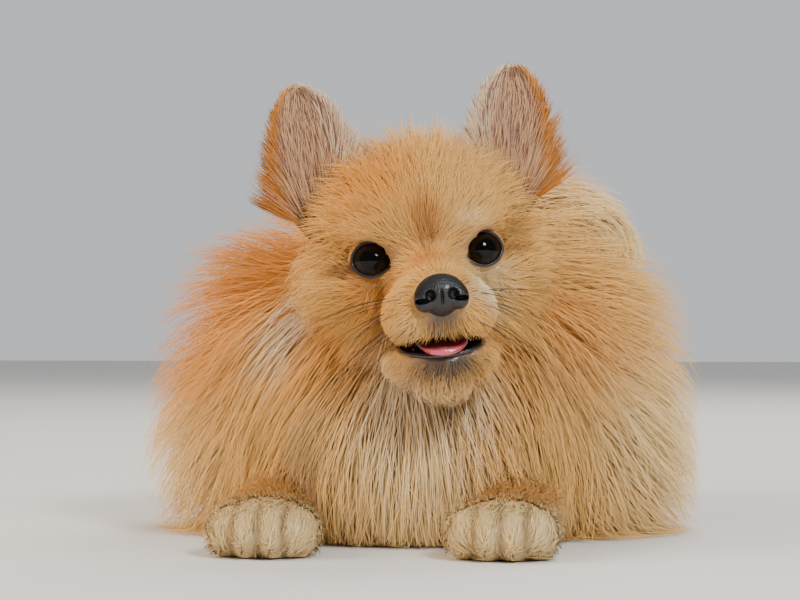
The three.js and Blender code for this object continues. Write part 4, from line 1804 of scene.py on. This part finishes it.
@dataclass(frozen=True)
class Eye:
    """One eye, with its ball, lids and lashes. Its angles are in radians."""

    side: Side
    radius: float = 8.7
    cornea_rise: float = 0.45
    cornea_edge: float = 0.75
    pole: float = 0.02
    rings: int = 40
    columns: int = 64
    lid_power: float = 1.8
    lid_outer: float = 0.76
    lid_inner: float = 0.79
    lid_upper: float = 0.69
    lid_lower: float = 0.62
    lid_end: float = 1.45
    lid_columns: int = 72
    lid_spread: tuple[float, ...] = (0.0, 0.015, 0.05, 0.1, 0.17, 0.26, 0.4, 0.6)
    lid_radii: tuple[float, ...] = (8.9, 9.35, 9.62, 9.72, 9.75, 9.75, 9.7, 9.3)
    back_spread: tuple[float, ...] = (0.45, 0.2, 0.03)
    back_radii: tuple[float, ...] = (8.6, 8.5, 8.6)
    corner_share: float = 0.7
    lash_count: int = 17
    lash_margin: float = 0.35
    lash_root: tuple[float, float] = (0.03, 9.4)
    lash_aim: tuple[float, float] = (0.19, 12.5)
    lash_length: tuple[float, float] = (1.8, 3.0)

    def on_ball(self, tilt: Points, turn: Points, radius: Points | float) -> Points:
        """Places points round the eye's axis.

        Args:
            tilt: Angle from the axis.
            turn: Angle round the axis.
            radius: Distance from the eye's centre.

        Returns:
            The points, in the dog's frame.
        """
        out = eye_axis(self.side)
        across = unit(np.cross((0.0, 0.0, 1.0), out))
        ring = np.cos(turn)[..., None] * across + np.sin(turn)[..., None] * np.cross(out, across)
        rays = np.cos(tilt)[..., None] * out + np.sin(tilt)[..., None] * ring
        return from_head(eye_centre(self.side) + np.asarray(radius)[..., None] * rays)

    def ball(self) -> bpy.types.Object:
        """Makes the eyeball, with the bulge of its cornea.

        Returns:
            The eyeball.
        """
        tilts = np.linspace(self.pole, math.pi - self.pole, self.rings)
        turns = np.linspace(0, 2 * math.pi, self.columns, endpoint=False)
        tilt, turn = np.meshgrid(tilts, turns, indexing="ij")
        radius = self.radius + self.cornea_rise * (1 - ramp(tilt, 0.0, self.cornea_edge))
        piece = Sheet.capped(f"eyeball_{self.side.label}", self.on_ball(tilt, turn, radius))
        Meshes.store(piece, GAZE, Stored.NUMBER, np.degrees(tilt))
        return piece

    def lid_edge(self, turn: Points) -> Points:
        """Finds the opening of the lids.

        Args:
            turn: Angle round the eye's axis.

        Returns:
            Angle from the axis to the edge of the lids.
        """
        wide = np.where(np.cos(turn) * self.side.value > 0, self.lid_outer, self.lid_inner)
        high = np.where(np.sin(turn) > 0, self.lid_upper, self.lid_lower)
        power = self.lid_power
        reach = (np.abs(np.cos(turn)) / wide) ** power + (np.abs(np.sin(turn)) / high) ** power
        return np.arcsin(np.clip(reach ** (-1 / power), 0, 0.99))

    def lids(self) -> bpy.types.Object:
        """Makes the lids, with their dark wet rim and the pink of the inner corner.

        Returns:
            The lids.
        """
        turns = np.linspace(0, 2 * math.pi, self.lid_columns, endpoint=False)
        edge = self.lid_edge(turns)[:, None]
        spread = np.array(self.lid_spread)
        front = edge + spread * (self.lid_end - edge) / spread[-1]
        tilt = np.concatenate([front, edge + np.array(self.back_spread)], axis=1)
        radius = np.tile(self.lid_radii + self.back_radii, (len(turns), 1))
        turn = np.repeat(turns[:, None], tilt.shape[1], axis=1)
        points = self.on_ball(tilt, turn, radius).reshape(-1, 3)
        faces = Sheet.quads(*tilt.shape, round_rows=True, round_columns=True)
        piece = Meshes.plain(f"lids_{self.side.label}", points, faces)
        away = np.concatenate([spread, np.zeros(len(self.back_spread))])
        dark = np.tile(1 - ramp(away, 0.04, 0.13), len(turns))
        colours = blend(head_marking(points), LID_RIM, dark)
        corner = ramp(-np.cos(turn) * self.side.value, 0.9, 0.99) * (np.sin(turn) < 0.3)
        Meshes.mark(piece, blend(colours, EYE_CORNER, self.corner_share * corner.ravel() * dark))
        return piece

    def lashes(self, random: np.random.Generator) -> tuple[Points, Points, Points]:
        """Places the lashes of the upper lid.

        Args:
            random: Where their lengths are drawn from.

        Returns:
            Their roots, aims and lengths.
        """
        turns = np.linspace(self.lash_margin, math.pi - self.lash_margin, self.lash_count)
        edge = self.lid_edge(turns)
        ends = []
        for tilt, radius in (self.lash_root, self.lash_aim):
            ends.append(self.on_ball(edge + tilt, turns, np.full(len(turns), radius)))
        return ends[0], ends[1] - ends[0], random.uniform(*self.lash_length, len(turns))


@dataclass(frozen=True)
class Nose:
    """The nose leather, with nostrils and the groove under them, in the head's own frame."""

    cell: float = 0.32
    low: Triple = (-10.5, -46.0, -25.5)
    high: Triple = (10.5, -27.0, -5.5)
    far: float = 5.0
    taper: float = 0.3
    taper_end: float = 1.2
    lean: float = 2.2
    wing: Egg = Egg((6.2, -38.0, -16.2), (3.3, 3.6, 4.0))
    wing_blend: float = 0.8
    groove: Egg = Egg((0.0, -42.6, -18.6), (0.7, 2.4, 6.6))
    nostril: Egg = Egg((4.0, -42.2, -14.6), (2.0, 3.6, 2.2))
    slit: Egg = Egg((6.9, -40.6, -16.4), (2.9, 3.2, 0.95))
    # Painted shade inside the nostrils, and painted light towards the top of the pad
    nostril_painted_shade: float = 0.85
    painted_top_light: float = 0.7

    def build(self) -> bpy.types.Object:
        """Makes the nose pad, with painted shade in its nostrils and painted light on its top.

        Returns:
            The nose pad.
        """
        counts = np.ceil(np.subtract(self.high, self.low) / self.cell).astype(int)
        axes = [self.low[i] + self.cell * np.arange(counts[i]) for i in range(3)]
        points = np.stack(np.meshgrid(*axes, indexing="ij"), axis=-1)
        drop = np.maximum(0, (NOSE_PLACE[2] - points[..., 2]) / NOSE_SIZE[2])
        body = points.copy()
        body[..., 0] /= 1 - self.taper * np.minimum(drop, self.taper_end)
        body[..., 1] -= self.lean * drop
        shape = Egg(tuple(NOSE_PLACE), tuple(NOSE_SIZE)).distance(body)
        for side in Side:
            wing = self.wing.on(side).distance(points)
            both = np.exp(-shape / self.wing_blend) + np.exp(-wing / self.wing_blend)
            shape = -self.wing_blend * np.log(both)
        holes = [hole.on(side) for side in Side for hole in (self.nostril, self.slit)]
        for cut in (self.groove, *holes):
            shape = np.maximum(shape, -cut.distance(points))
        local, faces = contour(shape, self.far, self.low, self.cell)
        piece = Meshes.plain("nose_pad", from_head(local), faces)
        depth = np.min([hole.distance(local) for hole in holes], axis=0)
        # Painted shade inside the nostrils and painted light over the top
        inside = (1 - ramp(depth, -0.2, 0.5)) * ramp(local[:, 1], -42.0, -38.5)
        light = (1 - self.nostril_painted_shade * inside) * (1 + self.painted_top_light * ramp(local[:, 2], -15, -8))
        Meshes.mark(piece, NOSE_BLACK * light[:, None])
        return piece


@dataclass(frozen=True)
class Mouth:
    """The tongue, the wet lower lip and the back of the mouth, painted dark as shade, in the head's own
    frame.
    """

    tongue_length: float = 31.0
    tongue_wide: float = 9.6
    tongue_thick: float = 1.1
    tongue_height: float = -29.8
    tongue_fall: float = 5.0
    tongue_curl: float = 3.6
    tongue_grid: tuple[int, int] = (48, 41)
    lip_turn: float = 1.9
    lip_points: int = 61
    lip_back: float = 6.0
    lip_radii: tuple[float, float] = (0.3, 0.6)
    lip_shift: Triple = (0.0, -0.3, -0.1)
    lip_sides: int = 12
    lip_rounds: int = 4
    throat_place: Triple = (0.0, 3.0, -31.0)
    throat_size: Triple = (14.0, 12.0, 7.0)
    throat_wall: float = 0.02

    def tongue(self) -> bpy.types.Object:
        """Makes the tongue, hollowed along its middle, with pale edges and painted shade towards its back.

        Returns:
            The tongue.
        """
        rows, columns = self.tongue_grid
        v, u = np.meshgrid(np.linspace(0, 1, rows), np.linspace(-1, 1, columns), indexing="ij")
        width = self.tongue_wide * (1 - 0.97 * v ** 10) ** 0.5
        thick = self.tongue_thick * (1 - u * u) ** 0.35
        ripple = 0.12 * np.sin(u * 9 + 2.2 * v) * (1 - np.abs(u)) + 0.1 * np.sin(v * 15 + u * 2)
        curl = self.tongue_curl * np.abs(width * u / self.tongue_wide) ** 4 * (0.4 + 0.6 * v)
        z = self.tongue_height - self.tongue_fall * v ** 1.3 + curl
        y = -self.tongue_length * v
        front = from_head(np.stack([width * u, y, z + thick + ripple], axis=-1))
        back = from_head(np.stack([width * u, y, z - thick], axis=-1))
        piece = Sheet.closed("tongue_scoop", front, back)
        local = to_head(Meshes.points_of(piece))
        pale = ramp(np.abs(local[:, 0]) / 9, 0.84, 0.98) * ramp(-local[:, 1], 8, 16)
        # Painted shade: the tongue darkens towards the back of the mouth
        painted_mouth_shade = 0.75 * (1 - ramp(-local[:, 1], 4, 24))
        Meshes.mark(piece, blend(TONGUE_PINK * (1 - painted_mouth_shade)[:, None], TONGUE_EDGE, pale))
        return piece

    def lip_path(self) -> Points:
        """Follows the edge of the mouth over the jaw, from corner to corner.

        Returns:
            Points of the path.
        """
        path = []
        reach = np.arange(2, 30, 0.2)
        for turn in np.linspace(-self.lip_turn, self.lip_turn, self.lip_points):
            x = MOUTH_PLACE[0] + reach * math.sin(turn)
            y = MOUTH_PLACE[1] + self.lip_back - reach * math.cos(turn)
            inside = 1 - (x / MOUTH_SIZE[0]) ** 2 - ((y - MOUTH_PLACE[1]) / MOUTH_SIZE[1]) ** 2
            z = MOUTH_PLACE[2] - MOUTH_SIZE[2] * np.sqrt(np.maximum(inside, 0))
            local = np.stack([x, y, z], axis=-1)
            flesh = JAW.measure(from_head(local))[0]
            held = np.flatnonzero((flesh < 0.2) & (inside > 0))
            if len(held):
                path.append(local[held[-1]])
        path = np.array(path)
        for _ in range(self.lip_rounds):
            path[1:-1] = (path[:-2] + 2 * path[1:-1] + path[2:]) / 4
        return path

    def lip(self) -> bpy.types.Object:
        """Makes the wet rim of the lower lip, which thins to its ends.

        Returns:
            The lip.
        """
        path = self.lip_path()
        least, swell = self.lip_radii
        radii = least + swell * np.sin(np.linspace(0.12, math.pi - 0.12, len(path)))
        tube = Sheet.tube("lower_lip", from_head(path + self.lip_shift), radii, self.lip_sides)
        Meshes.mark(tube, LIP_BLACK)
        return tube

    def throat(self) -> bpy.types.Object:
        """Makes the back of the mouth, its dark red painted shade.

        Returns:
            The throat.
        """
        tilts, turns = np.linspace(0.05, math.pi - 0.05, 24), np.linspace(0, 2 * math.pi, 33)
        tilt, turn = np.meshgrid(tilts, turns, indexing="ij")
        ball = np.stack([np.sin(tilt) * np.cos(turn), np.sin(tilt) * np.sin(turn), np.cos(tilt)], axis=-1)
        outer = ball * self.throat_size + self.throat_place
        inner = ball * (1 - self.throat_wall) * self.throat_size + self.throat_place
        piece = Sheet.closed("throat", from_head(outer), from_head(inner))
        Meshes.mark(piece, THROAT_SHADED_RED)
        return piece


@dataclass(frozen=True)
class Ear:
    """One ear: its leather and its hair. Its places are in the head's own frame."""

    side: Side
    base: Triple = (35.0, 27.0, 22.0)
    tip: Triple = (40.0, 24.0, 67.0)
    wide: float = 13.8
    cup: float = 9.0
    thick: float = 2.0
    grid: tuple[int, int] = (38, 25)
    root: float = -0.3
    hollow_share: float = 0.75
    edge_share: float = 0.6

    def point(self, u: Points, v: Points, lift: Points | float) -> Points:
        """Places points of the ear.

        Args:
            u: From -1 at its inner edge to 1 at its outer edge.
            v: From 0 at its root to 1 at its tip.
            lift: Distance behind its middle, in millimetres.

        Returns:
            The points, in the dog's frame.
        """
        width = self.wide * (1 - 0.985 * np.maximum(v, 0) ** 3.4) ** 0.55 * (1 + 1.6 * np.minimum(v, 0))
        cup = self.cup * (1 - 0.55 * v) * (1 - u * u)
        thin = (1 - 0.45 * v) * (1 - 0.35 * u * u)
        x, y, z = (first + v * (last - first) for first, last in zip(self.base, self.tip))
        x = x + width * u
        y = y + cup + lift * thin + 4 * u * (1 - v)
        z = z - 5 * u * v * (1 - v)
        return from_head(np.stack([self.side.value * x, y, z], axis=-1))

    def shell(self) -> bpy.types.Object:
        """Makes the leather, orange behind and brown inside.

        Returns:
            The leather.
        """
        rows, columns = self.grid
        v, u = np.meshgrid(np.linspace(self.root, 1, rows), np.linspace(-1, 1, columns), indexing="ij")
        front, back = [self.point(u, v, lift) for lift in (-self.thick / 2, self.thick / 2)]
        piece = Sheet.closed(f"ear_{self.side.label}", front, back)
        colours = ear_marking(Meshes.points_of(piece))
        colours[:u.size] = EAR_BROWN
        Meshes.mark(piece, colours)
        return piece

    def hair(self, coat: Coat) -> bpy.types.Object:
        """Grows the hair of its back, its edge and its hollow.

        Args:
            coat: What grows the strands.

        Returns:
            The coat piece.
        """
        fur = EAR_FUR[self.side]
        random = coat.random
        u = random.uniform(-1, 1, fur.count)
        u = np.where(random.random(fur.count) < 0.35, np.sign(u) * (1 - 0.12 * np.abs(u)), u)
        v = random.uniform(0, 1, fur.count) ** 1.25 * 1.1 - 0.12
        face = np.where(random.random(fur.count) < 0.55, 1.0, -1.0)
        lift = face * self.thick / 2
        start = self.point(u, v, lift)
        up = unit(self.point(u, np.minimum(v + 0.03, 1), lift) - start)
        out = unit(self.point(u, v, lift + face) - start)
        rim = unit(self.point(u * 0 + 1, v, lift) - self.point(u * 0 - 1, v, lift))
        spread = (u ** 3 * (0.3 + 0.7 * (1 - v)))[:, None]
        aim = unit(up + spread * rim + random.normal(0, 0.11, start.shape))
        length = random.uniform(*fur.length, fur.count) * (0.4 + 1.1 * (1 - v) ** 1.5)
        length = (length * np.where(face > 0, 1, 0.8 + 0.4 * np.abs(u)))[:, None, None]
        lean = (0.3 + 0.35 * (1 - v))[:, None]
        steps = np.linspace(0, 1, fur.rings + 1)[None, :, None]
        paths = start[:, None] + length * steps * aim[:, None]
        paths += length * (lean * out)[:, None] * steps ** 0.8
        for chosen in (face > 0, face < 0):
            paths[chosen] = coat.gather(fur, paths[chosen])
        hollow = (face < 0) * (1 - ramp(np.abs(u), 0.55, 0.95))
        colours = blend(ear_marking(start), EAR_CREAM, self.hollow_share * hollow)
        colours = blend(colours, PALE, self.edge_share * (face < 0) * ramp(-u, 0.3, 0.8))
        unwrap = np.stack([0.25 + 0.22 * u + 0.25 * (1 - face), 0.05 + 0.9 * v], axis=-1)
        return coat.strands(fur, paths, out, colours, unwrap)


EAR_FUR = {
    side: Fur(f"ear_{side.label}_coat", 3000, 3, 0.16, (7, 12), (0, 0), 0.4, 3.5, Slot.EAR) for side in Side
}
LID_RIM = linear(24, 18, 17)
EYE_CORNER = linear(120, 72, 66)
NOSE_BLACK = linear(30, 29, 31)
TONGUE_PINK = linear(206, 84, 94)
TONGUE_EDGE = linear(216, 196, 176)
LIP_BLACK = linear(30, 26, 27)
# Red of the back of the mouth, darkened as painted shade
THROAT_SHADED_RED = linear(46, 16, 16)
MOUTH_LINING = linear(118, 52, 50)
EAR_BROWN = linear(150, 108, 92)
EAR_CREAM = linear(216, 176, 138)


class Bristles:
    """Whiskers, lashes and claws, which one cone grower makes."""

    WHISKER_ROWS = 3
    WHISKERS_IN_ROW = 5
    WHISKER_LENGTH = (28, 46)
    WHISKER_STRAY = 0.08
    BROW_LENGTH = (13, 18)
    BROWS = 2
    SETTLE_ROUNDS = 4
    CLAW_AIM = (0.0, -1.0, -0.55)
    CLAW_LENGTH = 4.6
    CLAW_HEIGHT = 5.0

    def __init__(self, eyes: Sequence[Eye]) -> None:
        """Keeps the eyes and builds the cone grower.

        Args:
            eyes: The eyes that the lashes grow round.
        """
        self.eyes = eyes
        self.cones = ConeGrower()
        self.random = np.random.default_rng(SEED + 1)

    def on_face(self, place: Sequence[float]) -> Points:
        """Moves a place of the head's own frame onto the skin of the head."""
        return HEAD.settle(from_head(np.array(place))[None], 0.0, self.SETTLE_ROUNDS)[0][0]

    def whiskers(self) -> bpy.types.Object:
        """Grows the whiskers of the muzzle and the brows.

        Returns:
            The whiskers.
        """
        roots, aims, lengths = [], [], []
        for side in Side:
            s = side.value
            for row in range(self.WHISKER_ROWS):
                for i in range(self.WHISKERS_IN_ROW):
                    roots.append(self.on_face((s * (11.0 + 1.1 * i), -30.0 + 4.2 * i, -17.0 - 3.2 * row)))
                    stray = self.random.normal(0, self.WHISKER_STRAY, 3)
                    aims.append(turn_from_head((s, -0.25 + 0.3 * i, -0.05 - 0.28 * row)) + stray)
                    lengths.append(self.random.uniform(*self.WHISKER_LENGTH) - 3 * row)
            for i in range(self.BROWS):
                roots.append(self.on_face((s * (13 + 4 * i), -1.0, 14.0)))
                aims.append(turn_from_head((s * (0.5 + 0.3 * i), -0.25, 0.8)))
                lengths.append(self.random.uniform(*self.BROW_LENGTH))
        return self.cones.grow("whiskers", np.array(roots), aims, lengths, 0.15, 8.0, WHISKER_FINISH)

    def lashes(self) -> bpy.types.Object:
        """Grows the lashes of both eyes.

        Returns:
            The lashes.
        """
        grown = [eye.lashes(self.random) for eye in self.eyes]
        roots, aims, lengths = (np.concatenate(part) for part in zip(*grown))
        return self.cones.grow("lashes", roots, aims, lengths, 0.1, 0.2, LASH_FINISH)

    def claws(self) -> bpy.types.Object:
        """Grows the tips of the forepaws' claws, between the toes' hair.

        Returns:
            The claws.
        """
        roots = [
            (side.value * PAW_PLACE[0] + x, -140.0 if abs(x) > OUTER_TOE_X else -146.0, self.CLAW_HEIGHT)
            for side in Side for x in TOE_X
        ]
        aims = np.tile(self.CLAW_AIM, (len(roots), 1))
        lengths = np.full(len(roots), self.CLAW_LENGTH)
        return self.cones.grow("claws", np.array(roots), aims, lengths, 1.0, 0.8, CLAW_FINISH)


class Dog:
    """The whole dog: skin, coat and features."""

    # Painted shade: the skin takes the coat's marking darkened, as the shade deep in the coat
    SKIN_SHADE = 0.75
    # Painted shade deep in the mouth
    THROAT_SHADE = 0.85

    def __init__(self) -> None:
        """Prepares the node groups, the skin, the eyes and the ears."""
        self.groups = NodeGroups()
        self.skin = Skin(PARTS)
        self.eyes = [Eye(side) for side in Side]
        self.ears = [Ear(side) for side in Side]
        self.bristles = Bristles(self.eyes)

    @staticmethod
    def place(piece: bpy.types.Object, material: bpy.types.Material, slot: Slot, *nodes: str) -> None:
        """Gives a piece its finish and body, hides the nodes that it stands for and logs its slot.

        Args:
            piece: The piece.
            material: Its material.
            slot: Its slot of the record.
            nodes: Names of the nodes that it replaces.
        """
        piece.data.materials.clear()
        piece.data.materials.append(material)
        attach(piece, ROOT_BODY)
        if nodes:
            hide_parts(*nodes)
        LOG.info("%s: %d faces, %s", piece.name, len(piece.data.polygons), slot.value)

    def skin_marking(self, points: Points) -> Points:
        """Marks the skin, with the bare lining of its mouth, which is painted darker towards the throat as
        shade.

        Args:
            points: Points of the skin.

        Returns:
            Their colours.
        """
        owner = self.skin.nearest(points)
        names = list(self.skin.parts)
        colours = body_marking(points)
        for name, marking in PART_MARKINGS.items():
            chosen = owner == names.index(name)
            colours[chosen] = marking(points[chosen])
        inner = 1 - ramp(MOUTH.distance(points), 0.2, 1.6)
        # Painted shade: the lining darkens towards the throat
        painted_mouth_shade = self.THROAT_SHADE * ramp(to_head(points)[:, 1], -22, -6)
        return blend(colours, MOUTH_LINING * (1 - painted_mouth_shade)[:, None], inner)

    def dress(self) -> None:
        """Builds every piece, from the skin out."""
        points, faces = self.skin.surface()
        skin = Meshes.plain("skin", points, faces)
        # Painted shade: the skin is darker than the coat's marking over it
        Meshes.mark(skin, self.skin_marking(points) * self.SKIN_SHADE)
        pieces = [skin, *[ear.shell() for ear in self.ears], *[eye.lids() for eye in self.eyes]]
        whole = Meshes.join("skin", pieces)
        self.place(whole, SKIN_FINISH.make(self.groups), Slot.CREAM, *FLESH_NODES)
        coat = Coat(self.skin, points, faces)
        long_hair, short_hair = LONG_HAIR.make(self.groups), SHORT_HAIR.make(self.groups)
        for growth in GROWTHS:
            hair = short_hair if growth.fur.rings == SHORT_RINGS else long_hair
            self.place(self.grown(coat, growth), hair, growth.fur.slot)
        for ear in self.ears:
            self.place(ear.hair(coat), short_hair, Slot.EAR)
        self.face()

    @staticmethod
    def grown(coat: Coat, growth: Growth) -> bpy.types.Object:
        """Grows one coat piece.

        Args:
            coat: What grows the strands.
            growth: How the piece grows.

        Returns:
            The coat piece.
        """
        fur = growth.fur
        roots = coat.roots(growth.part, fur.count, growth.density)
        paths = coat.grow(fur, PARTS[growth.part], roots, growth.lie, growth.scale)
        paths = coat.gather(fur, paths)
        clear = coat.off_eyes(paths)
        paths, roots = paths[clear], roots.keep(clear)
        unwrap = unwrap_round(roots.points, growth.centre, growth.axis)
        return coat.strands(fur, paths, roots.outward, growth.marking(paths[:, -2]), unwrap)

    def face(self) -> None:
        """Builds the eyes, nose, mouth, whiskers, lashes and claws."""
        eye_finish = EyeFinish().make()
        for eye in self.eyes:
            self.place(eye.ball(), eye_finish, Slot.EYE, f"eye_{eye.side.label}")
        self.place(Nose().build(), NOSE_FINISH.make(self.groups), Slot.NOSE, "nose")
        mouth = Mouth()
        wet = TONGUE_FINISH.make(self.groups)
        self.place(mouth.tongue(), wet, Slot.TONGUE, "tongue")
        self.place(mouth.throat(), wet, Slot.TONGUE)
        self.place(mouth.lip(), LIP_FINISH.make(self.groups), Slot.NOSE)
        for piece in (self.bristles.whiskers(), self.bristles.lashes(), self.bristles.claws()):
            self.place(piece, piece.data.materials[0], Slot.NOSE)


@dataclass(frozen=True)
class Lamp:
    """A soft lamp aimed at the dog. Only a mirrored one shows in the eyes."""

    name: str
    place: Triple
    wide: float
    power: float
    colour: Triple
    mirrored: bool = False


LAMPS = (
    Lamp("window_light", (0.8, -1.25, 1.1), 0.42, 30, (0.93, 0.98, 1.0), True),
    Lamp("warm_fill", (-1.4, -0.6, 0.8), 1.2, 28, (1.0, 0.84, 0.62)),
    Lamp("back_light", (0.3, 1.2, 1.4), 1.2, 26, (1.0, 0.97, 0.92)),
)


@dataclass(frozen=True)
class Stage:
    """Floor, lamps, world and camera, in metres."""

    aim: Triple = (0.0, -0.05, 0.08)
    floor_size: float = 8.0
    room_colour: Triple = (0.86, 0.9, 0.95)
    room_light: float = 0.72
    camera_place: Triple = (0.1124, -0.9977, 0.083)
    camera_look: Triple = (-0.1219, 0.9925, 0.008)
    sensor: float = 36.0
    picture_wide: float = 800.0
    picture_focal: float = 2500.0

    def build(self) -> None:
        """Sets the stage round the dog."""
        self.floor()
        for lamp in LAMPS:
            self.light(lamp)
        self.room()
        self.camera()

    @staticmethod
    def face_along(holder: bpy.types.Object, way: Vector) -> None:
        """Turns a lamp or the camera to look along a direction."""
        holder.rotation_euler = way.to_track_quat("-Z", "Y").to_euler()

    def floor(self) -> None:
        """Lays the floor."""
        bpy.ops.mesh.primitive_plane_add(size=self.floor_size)
        floor = bpy.context.active_object
        floor.name = "floor"
        floor.data.materials.append(FLOOR_FINISH.make())

    def light(self, lamp: Lamp) -> None:
        """Hangs one lamp.

        Args:
            lamp: The lamp.
        """
        data = bpy.data.lights.new(lamp.name, "AREA")
        data.shape = "DISK"
        data.size = lamp.wide
        data.energy = lamp.power
        data.color = lamp.colour
        holder = linked(lamp.name, data)
        holder.location = lamp.place
        holder.visible_glossy = lamp.mirrored
        self.face_along(holder, Vector(self.aim) - Vector(lamp.place))

    def room(self) -> None:
        """Lights the room evenly, without a mirror image of it."""
        world = bpy.data.worlds.new("room_light")
        world.use_nodes = True
        background = world.node_tree.nodes["Background"]
        background.inputs["Color"].default_value = (*self.room_colour, 1)
        background.inputs["Strength"].default_value = self.room_light
        world.cycles_visibility.glossy = False
        bpy.context.scene.world = world

    def camera(self) -> None:
        """Places the camera where the photograph was taken from."""
        data = bpy.data.cameras.new("camera")
        data.sensor_width = self.sensor
        data.lens = self.sensor * self.picture_focal / self.picture_wide
        camera = linked("camera", data)
        camera.location = self.camera_place
        self.face_along(camera, Vector(self.camera_look))
        bpy.context.scene.camera = camera


def main() -> None:
    """Builds the dog and its stage."""
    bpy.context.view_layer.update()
    Dog().dress()
    Stage().build()


if __name__ == "__main__":
    main()
